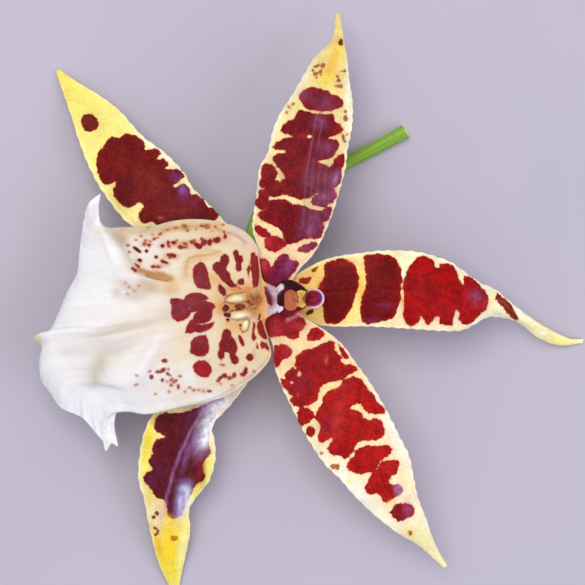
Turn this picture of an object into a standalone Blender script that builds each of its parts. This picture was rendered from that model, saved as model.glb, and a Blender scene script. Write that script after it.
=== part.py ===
# A spider orchid bloom, picked and lying face up: three sepals, two petals and a broad lip
# around a short column, on the ovary and pedicel that bend down behind it to the surface.
import math

import bpy
import numpy as np

MM = 0.001

# Driving dimensions, in millimetres, from the middle of the bloom and up from the surface.
# Outlines are drawn as they look from EYE_ABOVE over the middle, so a lower point lies wider.
MIDDLE_HEIGHT = 17.0
EYE_ABOVE = 450.0
EYE_OVER = np.array([2.96, 1.12])
BLADE_THICKNESS = 0.72
MARGIN_THICKNESS = 0.62
LIP_THICKNESS = 0.8
BLADE_ROWS = 24
BLADE_COLUMNS = 10
LIP_ROWS = 42
LIP_COLUMNS = 28

# Each row of an outline is a point on the left margin and its partner on the right one, from
# the base to the tip. Each station is the share of the length, then the height of the middle
# and how far the left and the right margin lie above it.
DORSAL_SEPAL = {
    "outline": [
        (1.8, 1.4, 1.8, -1.0), (3.1, 4.1, 3.5, -2.9), (6.1, 6.1, 5.7, -4.3),
        (9.2, 7.6, 8.6, -5.5), (12.4, 8.5, 12.9, -5.8), (16.1, 9.0, 16.7, -5.7),
        (21.2, 9.6, 21.8, -5.9), (28.2, 9.4, 28.0, -6.3), (34.5, 7.6, 34.3, -6.7),
        (37.8, 5.5, 37.6, -6.5), (41.2, 3.1, 39.8, -5.5), (44.5, 1.6, 42.7, -3.9),
        (47.8, -1.2, 45.3, -3.9), (52.2, -4.5, 49.0, -4.9), (55.9, -6.7, 53.1, -8.0),
        (59.6, -8.4, 57.3, -9.6), (62.4, -8.4, 62.2, -9.2),
    ],
    "stations": [
        (0.0, 16.0, 0.0, 0.0), (0.15, 16.5, -0.4, -0.4), (0.35, 16.9, -1.6, -1.7),
        (0.55, 14.9, -2.0, -2.2), (0.75, 9.2, -1.2, -1.6), (0.9, 3.4, -0.4, -0.5),
        (1.0, 0.6, 0.0, 0.0),
    ],
    "keel": 1.9,
    "waves": (0.3, 4.5, 0.4),
    "touches": True,
}
UPPER_LATERAL_SEPAL = {
    "outline": [
        (-1.6, 0.8, -0.2, 1.8), (-5.3, 2.9, -2.4, 5.7), (-10.2, 5.7, -6.1, 10.4),
        (-14.9, 8.4, -10.0, 14.5), (-19.6, 10.4, -12.9, 17.8), (-24.1, 12.4, -15.3, 20.2),
        (-28.2, 14.1, -17.8, 22.9), (-31.0, 15.7, -19.2, 25.5), (-35.1, 20.8, -22.9, 29.4),
        (-38.0, 25.7, -27.8, 33.1), (-40.4, 31.6, -32.2, 38.0), (-42.0, 36.7, -36.3, 41.2),
        (-43.7, 41.6, -40.8, 43.9), (-45.3, 46.3, -44.7, 46.7),
    ],
    "stations": [
        (0.0, 16.0, 0.0, 0.0), (0.15, 15.8, -0.3, -0.3), (0.35, 14.6, -0.9, -1.2),
        (0.5, 13.0, -1.2, -1.8), (0.7, 9.0, -1.0, -1.4), (0.85, 4.8, -0.4, -0.6),
        (1.0, 0.6, 0.0, 0.0),
    ],
    "keel": 1.5,
    "waves": (0.3, 4.0, 2.1),
    "touches": True,
}
LOWER_LATERAL_SEPAL = {
    "outline": [
        (-0.2, -1.8, -1.4, -1.0), (-2.0, -6.5, -5.3, -4.1), (-3.9, -11.6, -11.4, -9.0),
        (-5.7, -16.3, -18.0, -14.5), (-9.4, -21.4, -22.4, -19.2), (-13.3, -25.9, -25.5, -23.7),
        (-12.9, -29.6, -27.3, -27.6), (-12.9, -33.3, -28.2, -32.0), (-14.1, -37.3, -28.4, -37.1),
        (-16.7, -40.6, -27.3, -41.0), (-18.2, -43.3, -26.5, -45.3), (-18.0, -47.3, -25.5, -49.8),
        (-18.8, -52.0, -24.3, -54.1), (-19.8, -56.5, -22.4, -58.2), (-20.4, -60.3, -21.2, -60.5),
    ],
    "stations": [
        (0.0, 16.0, 0.0, 0.0), (0.15, 15.9, -0.4, -0.3), (0.35, 14.2, -1.6, -0.9),
        (0.5, 12.6, -2.8, -1.2), (0.65, 10.4, -2.8, -1.3), (0.8, 6.6, -1.4, -1.0),
        (0.92, 2.4, -0.4, -0.4), (1.0, 0.6, 0.0, 0.0),
    ],
    "keel": 1.25,
    "waves": (0.3, 4.0, 1.2),
    "touches": True,
}
UPPER_PETAL = {
    "outline": [
        (-1.0, 2.0, 2.0, 2.2), (-3.3, 5.3, 4.5, 6.1), (-3.9, 9.8, 6.7, 8.4),
        (-5.1, 13.9, 8.8, 11.8), (-4.9, 17.3, 10.8, 16.5), (-4.3, 21.4, 12.4, 21.6),
        (-3.7, 26.5, 13.7, 26.5), (-2.0, 29.8, 14.1, 30.2), (-1.0, 34.1, 14.9, 34.1),
        (0.6, 37.8, 15.2, 37.3), (2.7, 41.0, 15.1, 40.8), (5.1, 45.1, 14.5, 44.3),
        (7.3, 48.8, 14.1, 48.6), (10.0, 51.4, 13.6, 51.2), (11.4, 53.8, 13.2, 54.0),
        (11.8, 58.0, 12.5, 58.0),
    ],
    "stations": [
        (0.0, 17.2, 0.0, 0.0), (0.15, 17.7, -0.3, -0.3), (0.35, 18.7, -0.6, -0.9),
        (0.55, 18.4, -0.9, -1.3), (0.75, 15.2, -1.0, -1.3), (0.9, 10.4, -0.5, -0.6),
        (1.0, 6.0, 0.0, 0.0),
    ],
    "keel": 2.0,
    "waves": (0.35, 5.0, 0.0),
    "touches": False,
}
LOWER_PETAL = {
    "outline": [
        (2.4, -1.6, -0.4, -2.2), (6.1, -4.5, -2.2, -5.1), (10.2, -7.1, -1.0, -9.8),
        (13.3, -9.8, -0.6, -14.1), (15.7, -13.1, 0.8, -18.0), (18.2, -16.5, 2.7, -22.0),
        (20.8, -20.6, 4.9, -26.5), (23.1, -24.9, 7.3, -30.6), (24.9, -28.6, 9.8, -34.1),
        (26.7, -32.2, 12.9, -37.1), (27.6, -36.5, 15.7, -40.4), (28.6, -41.0, 19.8, -44.3),
        (30.2, -45.1, 24.3, -47.8), (31.2, -48.2, 28.4, -50.2), (33.0, -52.2, 31.4, -52.7),
        (34.5, -54.6, 33.9, -55.0),
    ],
    "stations": [
        (0.0, 17.2, 0.0, 0.0), (0.15, 17.8, -0.4, -0.3), (0.35, 18.9, -1.0, -0.7),
        (0.55, 18.4, -1.3, -0.8), (0.75, 15.0, -1.1, -0.8), (0.9, 10.0, -0.5, -0.4),
        (1.0, 6.5, 0.0, 0.0),
    ],
    "keel": 2.0,
    "waves": (0.45, 6.0, 1.0),
    "touches": False,
}

# The lip's outline: its two sides from the claw to the front corners, and the front edge
# between the corners, with the apicule in the middle of it.
LIP_UPPER_SIDE = [
    (-1.2, 1.4), (-2.4, 3.7), (-2.8, 7.1), (-4.1, 10.6), (-7.1, 13.7), (-11.6, 15.4),
    (-16.9, 16.0), (-21.6, 15.6), (-25.9, 14.5), (-30.6, 14.4), (-34.7, 14.3), (-36.3, 15.5),
    (-36.7, 18.4), (-36.3, 21.2),
]
LIP_LOWER_SIDE = [
    (-1.2, -2.2), (-2.9, -4.5), (-2.0, -8.6), (-1.6, -12.0), (-4.1, -15.3), (-7.8, -18.2),
    (-11.4, -20.2), (-16.1, -21.4), (-21.0, -22.4), (-25.3, -22.9), (-29.0, -22.0),
    (-32.4, -22.4), (-33.5, -25.7), (-32.7, -30.2),
]
LIP_FRONT = [
    (-36.3, 21.2), (-38.6, 19.2), (-39.6, 15.5), (-40.2, 10.6), (-40.8, 5.3), (-42.9, 1.2),
    (-44.7, -3.1), (-46.5, -6.6), (-49.6, -8.0), (-48.1, -9.8), (-48.6, -12.9),
    (-48.2, -16.7), (-46.3, -19.4), (-44.1, -22.4), (-40.0, -24.3), (-37.3, -27.3),
    (-35.7, -29.2), (-35.1, -31.2), (-34.1, -29.6), (-32.7, -30.2),
]
# Height along the lip's middle, and how far its sides roll back below that, by share of length.
LIP_MIDDLE = [
    (0.0, 18.7), (0.12, 20.0), (0.3, 22.0), (0.45, 23.0), (0.6, 22.4), (0.8, 18.8), (1.0, 12.4),
]
LIP_ROLL = [
    (0.0, 0.2), (0.12, 0.9), (0.3, 4.0), (0.5, 6.0), (0.7, 6.0), (0.86, 4.0), (1.0, -0.5),
]
# Two pleats run from the middle of the lip out to its waist. The crest line gives, from the
# upper side (-1) to the lower side (1), the share of the length where the crest stands. Each
# pleat has a height and leans back over the lip's spotted half. Before the crest the lip dips.
CREST_LINE = [(-1.0, 0.89), (-0.5, 0.74), (0.0, 0.54), (0.5, 0.68), (1.0, 0.86)]
CREST_ROW_SHARE = 0.6
UPPER_PLEAT = {"height": 3.8, "lean": (4.2, 3.1)}
LOWER_PLEAT = {"height": 2.6, "lean": (0.5, -0.4)}
PLEAT_WIDTH = 0.08
PLEAT_DIP = 1.5
# The callus: two ridges near the claw, with a tooth on each.
CALLUS_RIDGES = (-0.35, -3.55)
CALLUS_X = (-9.6, -3.6)
CALLUS_HEIGHT = 1.1
CALLUS_WIDTH = 0.75

# The column: middle of each cross-section, its half-width and half-depth, how deep the
# stigma is sunk into its face and how far the wings stand out.
COLUMN_SECTIONS = [
    (0.0, 15.65, 1.1, 1.1, 0.0, 0.0), (0.0, 17.6, 1.2, 1.15, 0.0, 0.0),
    (0.6, 19.3, 2.1, 1.3, 0.2, 0.5), (1.6, 20.8, 3.2, 1.5, 1.0, 1.0),
    (2.9, 21.8, 3.5, 1.6, 1.5, 1.1), (4.3, 22.0, 2.8, 1.2, 0.7, 0.6),
    (6.0, 21.5, 1.6, 0.6, 0.2, 0.0), (7.6, 21.1, 1.0, 0.4, 0.0, 0.0),
]
COLUMN_SIDES = 26
COLUMN_RINGS = 22
STIGMA_HALF_ANGLE = 0.75
WING_ANGLE = 1.15
WING_HALF_ANGLE = 0.3

CAP_MIDDLE = (7.5, -0.3, 23.6)
CAP_RADII = (2.1, 2.1, 1.55)
CAP_GROOVE = 0.22
CAP_BEAK = 0.25
CAP_SIDES = 20
CAP_RINGS = 11

POLLINARIUM_HEIGHT = 23.62
POLLINARIUM_X = (3.1, 4.85)
POLLINARIUM_SIDES = 16
POLLINARIUM_RINGS = 14

# The ovary and pedicel: route, height and radius. It is flat underneath where it lies.
STALK = [
    (0.0, 0.0, 15.15, 2.6), (0.0, 0.0, 14.4, 2.4), (-0.2, 0.4, 12.6, 1.75),
    (-1.3, 2.6, 8.8, 1.85), (-3.5, 6.6, 4.9, 1.85), (-5.2, 12.0, 2.4, 1.65),
    (-4.0, 17.6, 1.3, 1.45), (1.4, 22.2, 0.95, 1.35), (9.2, 26.0, 0.95, 1.35),
    (18.0, 30.4, 0.95, 1.35), (26.9, 35.2, 1.1, 1.45),
]
STALK_SIDES = 18
STALK_RINGS = 36
OVARY_RIBS = 6
OVARY_RIB_HEIGHT = 0.16
OVARY_SHARE = 0.42

COLOURS = {
    "sepal": ((0.36, 0.035, 0.03), 0.45),
    "petal": ((0.42, 0.03, 0.03), 0.45),
    "lip": ((0.86, 0.83, 0.78), 0.5),
    "column": ((0.16, 0.01, 0.05), 0.35),
    "anther_cap": ((0.30, 0.02, 0.09), 0.35),
    "pollinarium": ((0.85, 0.45, 0.06), 0.4),
    "stalk": ((0.25, 0.42, 0.05), 0.5),
}


def through(knots, values, at):
    # A smooth curve through the values, each slope taken from the neighbours on both sides.
    knots = np.asarray(knots, float)
    values = np.asarray(values, float)
    slopes = np.gradient(values, knots, axis=0)
    at = np.asarray(at, float)
    low = np.clip(np.searchsorted(knots, at, side="right") - 1, 0, len(knots) - 2)
    span = knots[low + 1] - knots[low]
    share = (at - knots[low]) / span
    if values.ndim > 1:
        share = share[:, None]
        span = span[:, None]
    rest = 1 - share
    return (
        values[low] * rest**2 * (1 + 2 * share)
        + values[low + 1] * share**2 * (3 - 2 * share)
        + slopes[low] * span * share * rest**2
        - slopes[low + 1] * span * share**2 * rest
    )


def places(points, shares):
    # The places, counted in points, at the given shares of the length of a line of points.
    fine = np.linspace(0, len(points) - 1, 40 * len(points))
    line = through(range(len(points)), points, fine)
    run = np.concatenate([[0], np.cumsum(np.linalg.norm(np.diff(line, axis=0), axis=1))])
    return np.interp(shares, run / run[-1], fine)


def bell(distance):
    return np.exp(-distance * distance)


def widened(points):
    # What lies lower lies wider, so that from above it meets the outline that was drawn.
    spread = (EYE_ABOVE + MIDDLE_HEIGHT - points[..., 2:]) / EYE_ABOVE
    points[..., :2] = EYE_OVER + (points[..., :2] - EYE_OVER) * spread
    return points


def blade_surface(blade):
    outline = np.array(blade["outline"])
    middle = (outline[:, :2] + outline[:, 2:]) / 2
    along = np.linspace(0, 1, BLADE_ROWS + 1)
    margins = through(range(len(outline)), outline, places(middle, along))
    across = np.linspace(-1, 1, BLADE_COLUMNS + 1)
    stations = np.array(blade["stations"])
    heights = through(stations[:, 0], stations[:, 1:], along)
    right = (across + 1)[None, :, None] / 2
    points = np.zeros((len(along), len(across), 3))
    points[..., :2] = margins[:, None, :2] * (1 - right) + margins[:, None, 2:] * right
    side = np.where(across < 0, heights[:, 1:2], heights[:, 2:3])
    points[..., 2] = heights[:, :1] + side * np.abs(across) ** blade["keel"]
    size, count, phase = blade["waves"]
    turns = 2 * math.pi * count * along[:, None] + phase + 1.7 * (across > 0)
    points[..., 2] += size * np.sin(turns) * np.abs(across) ** 3 * np.sin(math.pi * along)[:, None]
    return widened(points)


def surface_normals(points):
    along = np.gradient(points, axis=0)
    across = np.gradient(points, axis=1)
    normals = np.cross(along, across)
    normals /= np.linalg.norm(normals, axis=2, keepdims=True)
    return normals * np.sign(normals[..., 2].sum())


def sheet_solid(points, middle_thickness, margin_thickness):
    # Two alike grids of triangles, half the thickness to each side, with a rim between them.
    rows, columns = points.shape[:2]
    across = np.abs(np.linspace(-1, 1, columns))[None, :, None]
    half = (middle_thickness + (margin_thickness - middle_thickness) * across**2) / 2
    normals = surface_normals(points)
    down = np.linalg.norm(points[1:, 1:] - points[:-1, :-1], axis=2)
    over = np.linalg.norm(points[1:, :-1] - points[:-1, 1:], axis=2)
    top = (points + normals * half).reshape(-1, 3)
    under = (points - normals * half).reshape(-1, 3)
    count = rows * columns
    faces = []
    for row in range(rows - 1):
        for column in range(columns - 1):
            a = row * columns + column
            b, c, d = a + 1, a + columns + 1, a + columns
            halves = ((a, b, c), (a, c, d))
            if over[row, column] < down[row, column]:
                halves = ((a, b, d), (b, c, d))
            for corners in halves:
                faces.append(corners)
                faces.append(tuple(count + corner for corner in reversed(corners)))
    edge = list(range(columns))
    edge += [row * columns + columns - 1 for row in range(1, rows)]
    edge += [(rows - 1) * columns + column for column in range(columns - 2, -1, -1)]
    edge += [row * columns for row in range(rows - 2, 0, -1)]
    for start, end in zip(edge, edge[1:] + edge[:1]):
        faces.append((end, start, count + start))
        faces.append((end, count + start, count + end))
    return np.concatenate([top, under]), faces


def ring_solid(rings):
    # A closed skin over a stack of rings, with a fan over each end.
    count, sides = rings.shape[:2]
    points = rings.reshape(-1, 3)
    ends = np.array([rings[0].mean(axis=0), rings[-1].mean(axis=0)])
    faces = []
    for ring in range(count - 1):
        for side in range(sides):
            a = ring * sides + side
            b = ring * sides + (side + 1) % sides
            faces.append((a, b, b + sides))
            faces.append((a, b + sides, a + sides))
    for side in range(sides):
        following = (side + 1) % sides
        faces.append((len(points), following, side))
        faces.append((len(points) + 1, (count - 1) * sides + side, (count - 1) * sides + following))
    return np.concatenate([points, ends]), faces


def volume(points, faces):
    corners = points[np.array(faces)]
    return np.einsum("ij,ij->i", corners[:, 0], np.cross(corners[:, 1], corners[:, 2])).sum() / 6


def material(name):
    colour, roughness = COLOURS[name]
    made = bpy.data.materials.new(name)
    made.use_nodes = True
    shader = made.node_tree.nodes["Principled BSDF"]
    shader.inputs["Base Color"].default_value = (*colour, 1)
    shader.inputs["Roughness"].default_value = roughness
    return made


def add_piece(name, solid, look, parent):
    points, faces = solid
    if volume(points, faces) < 0:
        faces = [tuple(reversed(face)) for face in faces]
    mesh = bpy.data.meshes.new(name)
    mesh.from_pydata((points * MM).tolist(), [], faces)
    mesh.materials.append(material(look))
    mesh.shade_smooth()
    piece = bpy.data.objects.new(name, mesh)
    piece.parent = parent
    bpy.context.scene.collection.objects.link(piece)
    return piece


def tepal_solid(blade):
    surface = blade_surface(blade)
    solid = sheet_solid(surface, BLADE_THICKNESS, MARGIN_THICKNESS)
    if blade["touches"]:
        # The tip is bent until its lowest point meets the surface.
        bend = np.linspace(0, 1, BLADE_ROWS + 1)[:, None] ** 6
        surface[..., 2] -= solid[0][:, 2].min() * bend
        solid = sheet_solid(surface, BLADE_THICKNESS, MARGIN_THICKNESS)
        solid[0][:, 2] = np.maximum(solid[0][:, 2], 0)
    return solid


def lip_shares(across):
    # One row of the lip's grid runs along the crest line, so that the folds come out clean.
    line = np.array(CREST_LINE)
    crest = through(line[:, 0], line[:, 1], across)[None, :]
    rows = np.linspace(0, 1, LIP_ROWS + 1)[:, None]
    before = crest * (rows / CREST_ROW_SHARE) ** 1.15
    after = crest + (1 - crest) * (rows - CREST_ROW_SHARE) / (1 - CREST_ROW_SHARE)
    return np.where(rows < CREST_ROW_SHARE, before, after), crest


def lip_plan(along, across):
    # A patch that fills the outline: each line along it runs from the claw to the front edge.
    def side_line(points):
        line = through(range(len(points)), points, places(points, along.ravel()))
        return line.reshape(*along.shape, 2)

    front = through(range(len(LIP_FRONT)), LIP_FRONT, places(LIP_FRONT, (across + 1) / 2))
    side = (across + 1)[None, :, None] / 2
    forth = along[..., None]
    straight_front = front[0] * (1 - side) + front[-1] * side
    sides = side_line(LIP_UPPER_SIDE) * (1 - side) + side_line(LIP_LOWER_SIDE) * side
    return sides + forth * (front[None] - straight_front)


def lip_surface():
    across = np.linspace(-1, 1, LIP_COLUMNS + 1)
    along, crest_line = lip_shares(across)
    points = np.zeros((*along.shape, 3))
    points[..., :2] = lip_plan(along, across)
    middle = np.array(LIP_MIDDLE)
    roll = np.array(LIP_ROLL)
    out = np.abs(across)[None, :]
    height = through(middle[:, 0], middle[:, 1], along.ravel()).reshape(along.shape)
    rolled = through(roll[:, 0], roll[:, 1], along.ravel()).reshape(along.shape)
    height = height - rolled * out**2.4
    from_crest = (along - crest_line) / PLEAT_WIDTH
    for pleat, here in ((UPPER_PLEAT, across < 0), (LOWER_PLEAT, across > 0)):
        crest = bell(from_crest) * here
        dip = bell(from_crest + 1.7) * here * out * (1 - out**6)
        height = height + pleat["height"] * out**1.2 * crest - PLEAT_DIP * dip
        points[..., :2] += (out**0.8 * (1 - out**4) * crest)[..., None] * pleat["lean"]
    points[..., 2] = height
    ramp = np.clip((points[..., 0] - CALLUS_X[0]) / 1.6, 0, 1)
    ramp = ramp * np.clip((CALLUS_X[1] - points[..., 0]) / 2.4, 0, 1)
    for ridge in CALLUS_RIDGES:
        points[..., 2] += CALLUS_HEIGHT * ramp * bell((points[..., 1] - ridge) / CALLUS_WIDTH)
    return widened(points)


def column_solid():
    sections = np.array(COLUMN_SECTIONS)
    axis = sections[:, :2]
    shares = np.linspace(0, 1, COLUMN_RINGS + 1)
    rows = through(range(len(sections)), sections, places(axis, shares))
    slope = np.gradient(rows[:, :2], axis=0)
    slope /= np.linalg.norm(slope, axis=1, keepdims=True)
    angles = np.linspace(-math.pi, math.pi, COLUMN_SIDES, endpoint=False)
    rings = []
    for (x, z, width, depth, stigma, wing), (run, rise) in zip(rows, slope):
        wings = bell((np.abs(angles) - WING_ANGLE) / WING_HALF_ANGLE) * wing
        face = depth * np.cos(angles) - stigma * bell(angles / STIGMA_HALF_ANGLE) + wings
        side = (width + 0.4 * wings) * np.sin(angles)
        rings.append(np.stack([x - rise * face, side, z + run * face], axis=1))
    return ring_solid(np.array(rings))


def cap_solid():
    # A rounded hood with a groove along its top and a blunt beak towards the stigma.
    turns = np.linspace(0, 2 * math.pi, CAP_SIDES, endpoint=False)
    rises = np.linspace(-0.46 * math.pi, 0.46 * math.pi, CAP_RINGS)
    rings = []
    for rise in rises:
        level = math.cos(rise)
        x = CAP_RADII[0] * level * np.cos(turns)
        y = CAP_RADII[1] * level * np.sin(turns)
        z = np.full_like(x, CAP_RADII[2] * math.sin(rise))
        x = x - CAP_BEAK * bell(y / 0.8) * np.clip(-x / CAP_RADII[0], 0, 1)
        z = z - CAP_GROOVE * bell(y / 0.45) * (rise > 0) * math.sin(max(rise, 0))
        rings.append(np.stack([x, y, z], axis=1) + CAP_MIDDLE)
    return ring_solid(np.array(rings))


def pollinarium_solid():
    # Two round pollinia side by side on a strap that narrows to its sticky foot.
    start, end = POLLINARIUM_X
    turns = np.linspace(0, 2 * math.pi, POLLINARIUM_SIDES, endpoint=False)
    rings = []
    for share in np.linspace(0, 1, POLLINARIUM_RINGS):
        x = start + (end - start) * share
        swell = math.sin(math.pi * min(max((share - 0.45) / 0.6, 0.0), 1.0))
        end_round = math.sqrt(max(0.04, 1 - (2 * share - 1) ** 6))
        half_width = (0.42 + 0.95 * swell) * end_round
        half_height = (0.24 + 0.36 * swell) * end_round
        y = half_width * np.cos(turns)
        z = half_height * np.sin(turns) * (1 - 0.35 * swell * bell(y / 0.28))
        rings.append(np.stack([np.full_like(y, x), y - 0.1, POLLINARIUM_HEIGHT + z], axis=1))
    return ring_solid(np.array(rings))


def stalk_solid():
    route = np.array(STALK)
    shares = np.linspace(0, 1, STALK_RINGS + 1)
    rows = through(range(len(route)), route, places(route[:, :3], shares))
    turns = np.linspace(0, 2 * math.pi, STALK_SIDES, endpoint=False)
    slopes = np.gradient(rows[:, :3], axis=0)
    side = np.array([1.0, 0.0, 0.0])
    rings = []
    for share, (x, y, z, radius), slope in zip(shares, rows, slopes):
        slope = slope / np.linalg.norm(slope)
        side = side - slope * side.dot(slope)
        side /= np.linalg.norm(side)
        other = np.cross(slope, side)
        ribbed = min(max((OVARY_SHARE - share) / 0.1, 0.0), 1.0) * min(share / 0.08, 1.0)
        ribs = radius + OVARY_RIB_HEIGHT * ribbed * np.cos(OVARY_RIBS * turns)
        ring = np.outer(ribs * np.cos(turns), side) + np.outer(ribs * np.sin(turns), other)
        rings.append(ring + (x, y, z))
    rings = np.array(rings)
    rings[..., 2] = np.maximum(rings[..., 2], 0)
    return ring_solid(rings)


def clear_scene():
    for old in list(bpy.data.objects):
        bpy.data.objects.remove(old, do_unlink=True)


def build():
    clear_scene()
    bloom = bpy.data.objects.new("bloom", None)
    bpy.context.scene.collection.objects.link(bloom)
    pieces = [
        add_piece("dorsal_sepal", tepal_solid(DORSAL_SEPAL), "sepal", bloom),
        add_piece("lateral_sepal_upper", tepal_solid(UPPER_LATERAL_SEPAL), "sepal", bloom),
        add_piece("lateral_sepal_lower", tepal_solid(LOWER_LATERAL_SEPAL), "sepal", bloom),
        add_piece("petal_upper", tepal_solid(UPPER_PETAL), "petal", bloom),
        add_piece("petal_lower", tepal_solid(LOWER_PETAL), "petal", bloom),
        add_piece("lip", sheet_solid(lip_surface(), LIP_THICKNESS, MARGIN_THICKNESS), "lip", bloom),
        add_piece("column", column_solid(), "column", bloom),
        add_piece("anther_cap", cap_solid(), "anther_cap", bloom),
        add_piece("pollinarium", pollinarium_solid(), "pollinarium", bloom),
        add_piece("ovary_pedicel", stalk_solid(), "stalk", bloom),
    ]
    # The whole stands on the middle of its own bounds.
    corners = np.concatenate([[vertex.co for vertex in piece.data.vertices] for piece in pieces])
    middle = (corners.min(axis=0) + corners.max(axis=0)) / 2
    bloom.location = (-middle[0], -middle[1], -corners[:, 2].min())


build()
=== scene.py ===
# Spider orchid bloom, picked and laid face up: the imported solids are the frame, and every
# visible skin is made here over them. Lengths are millimetres until a mesh is written.
import math

import bpy
import numpy as np
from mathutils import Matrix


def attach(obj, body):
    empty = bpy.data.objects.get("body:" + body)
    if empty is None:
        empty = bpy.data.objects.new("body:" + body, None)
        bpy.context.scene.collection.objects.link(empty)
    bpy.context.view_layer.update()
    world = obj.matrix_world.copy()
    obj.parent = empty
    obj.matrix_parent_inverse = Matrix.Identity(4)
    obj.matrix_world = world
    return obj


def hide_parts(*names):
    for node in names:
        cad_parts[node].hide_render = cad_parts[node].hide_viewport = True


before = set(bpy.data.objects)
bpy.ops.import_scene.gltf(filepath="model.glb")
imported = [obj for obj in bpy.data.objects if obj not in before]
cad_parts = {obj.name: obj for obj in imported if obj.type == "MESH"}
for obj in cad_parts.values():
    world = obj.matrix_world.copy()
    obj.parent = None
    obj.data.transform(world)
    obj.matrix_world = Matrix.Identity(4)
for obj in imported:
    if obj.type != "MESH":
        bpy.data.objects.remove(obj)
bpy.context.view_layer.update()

mm = 0.001
seen = {
    "middle": (278.0, 298.0),  # the bloom's middle in the photo, pixels of its 585
    "perMm": 4.9,  # pixels for a millimetre at the bloom's own height
    "middleHeight": 17.0,
    "eyeAbove": 450.0,  # the eye over the bloom's height
    "eyeOver": (2.96, 1.12),  # the point under the eye, from the bloom's middle
    "shift": (-7.2353, 1.6203),  # the bloom's middle in the frame
}


# colours, nodes and materials

def linear(hexColour):
    # an sRGB hex value as the linear colour that the shaders read
    parts = [int(hexColour[i:i + 2], 16) / 255 for i in (1, 3, 5)]
    return np.array([p / 12.92 if p <= 0.04045 else ((p + 0.055) / 1.055) ** 2.4 for p in parts])


def rgba(hexColour):
    return (*linear(hexColour), 1.0)


def feed(tree, node, inputs):
    # gives each input its value, or the socket that feeds it
    for name, value in inputs.items():
        if isinstance(value, bpy.types.NodeSocket):
            tree.links.new(value, node.inputs[name])
        else:
            node.inputs[name].default_value = value


def addNode(tree, kind, inputs=None, **settings):
    # one node, with its settings, values and links
    node = tree.nodes.new(kind)
    for name, value in settings.items():
        setattr(node, name, value)
    feed(tree, node, inputs or {})
    return node


def newSkin(name):
    # an empty material: with it its nodes, its shader and the place on the piece
    material = bpy.data.materials.new(name)
    material.use_nodes = True
    tree = material.node_tree
    place = addNode(tree, "ShaderNodeTexCoord").outputs["Object"]
    return material, tree, tree.nodes["Principled BSDF"], place


# plain shape helpers

def through(knots, values, at):
    # a smooth curve through the values, each slope taken from the neighbours on both sides
    knots = np.asarray(knots, float)
    values = np.asarray(values, float)
    slopes = np.gradient(values, knots, axis=0)
    at = np.asarray(at, float)
    low = np.clip(np.searchsorted(knots, at, side="right") - 1, 0, len(knots) - 2)
    span = knots[low + 1] - knots[low]
    share = (at - knots[low]) / span
    if values.ndim > 1:
        share, span = share[:, None], span[:, None]
    rest = 1 - share
    return (
        values[low] * rest**2 * (1 + 2 * share)
        + values[low + 1] * share**2 * (3 - 2 * share)
        + slopes[low] * span * share * rest**2
        - slopes[low + 1] * span * share**2 * rest
    )


def places(points, shares):
    # where along a line of points, counted in points, the given shares of its length fall
    fine = np.linspace(0, len(points) - 1, 40 * len(points))
    line = through(range(len(points)), points, fine)
    run = np.concatenate([[0], np.cumsum(np.linalg.norm(np.diff(line, axis=0), axis=1))])
    return np.interp(shares, run / run[-1], fine)


def bell(distance):
    return np.exp(-distance * distance)


def ramp(value, start, end):
    # 0 at start, 1 at end, eased at both
    share = np.clip((value - start) / (end - start), 0, 1)
    return share * share * (3 - 2 * share)


def widened(points):
    # what lies lower lies wider, so that from the eye it meets the outline that was drawn
    spread = (seen["eyeAbove"] + seen["middleHeight"] - points[..., 2:]) / seen["eyeAbove"]
    eye = np.array(seen["eyeOver"])
    return np.concatenate([eye + (points[..., :2] - eye) * spread, points[..., 2:]], axis=-1)


def inPhoto(points):
    # where a place shows in the photo, in its pixels
    eye = np.array(seen["eyeOver"])
    spread = (seen["eyeAbove"] + seen["middleHeight"] - points[..., 2]) / seen["eyeAbove"]
    x = eye[0] + (points[..., 0] - eye[0]) / spread
    y = eye[1] + (points[..., 1] - eye[1]) / spread
    return seen["middle"][0] + seen["perMm"] * x, seen["middle"][1] - seen["perMm"] * y


def normalsOf(points):
    along = np.gradient(points, axis=0)
    across = np.gradient(points, axis=1)
    normals = np.cross(along, across)
    normals /= np.linalg.norm(normals, axis=2, keepdims=True) + 1e-12
    return normals * np.sign(normals[..., 2].sum())


# markings, laid on by where they show

marking = {
    "merge": 1.6,  # how tightly spots that meet flow into one, for each pixel
    "mix": 0.9,  # the same for their colours
    "rimFade": (0.5, 4.5),  # pixels inside a blotch over which its rim colour fades
}


def onEllipse(px, py, x, y, rx, ry, turn=0):
    # where a place lies from an ellipse's middle, each way in its own radius
    angle = math.radians(turn)
    u = ((px - x) * math.cos(angle) + (py - y) * math.sin(angle)) / rx
    v = ((py - y) * math.cos(angle) - (px - x) * math.sin(angle)) / ry
    return u, v


def softEllipse(px, py, *ellipse):
    # 1 in an ellipse's middle, fading away past its edge
    u, v = onEllipse(px, py, *ellipse)
    return np.exp(-1.1 * (u * u + v * v))


def insideEllipse(px, py, x, y, rx, ry, turn=0):
    # how far inside an ellipse a place lies, in pixels; under zero is outside
    u, v = onEllipse(px, py, x, y, rx, ry, turn)
    reach = np.hypot(u, v) + 1e-6
    slope = np.hypot(u / rx, v / ry) + 1e-6
    return reach * (1 - reach) / slope


def fromLine(px, py, line):
    # the distance to a broken line, in pixels
    best = np.full(px.shape, 1e3)
    for (ax, ay), (bx, by) in zip(line, line[1:]):
        length = (bx - ax) ** 2 + (by - ay) ** 2
        share = np.clip(((px - ax) * (bx - ax) + (py - ay) * (by - ay)) / length, 0, 1)
        best = np.minimum(best, np.hypot(px - ax - share * (bx - ax), py - ay - share * (by - ay)))
    return best


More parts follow.
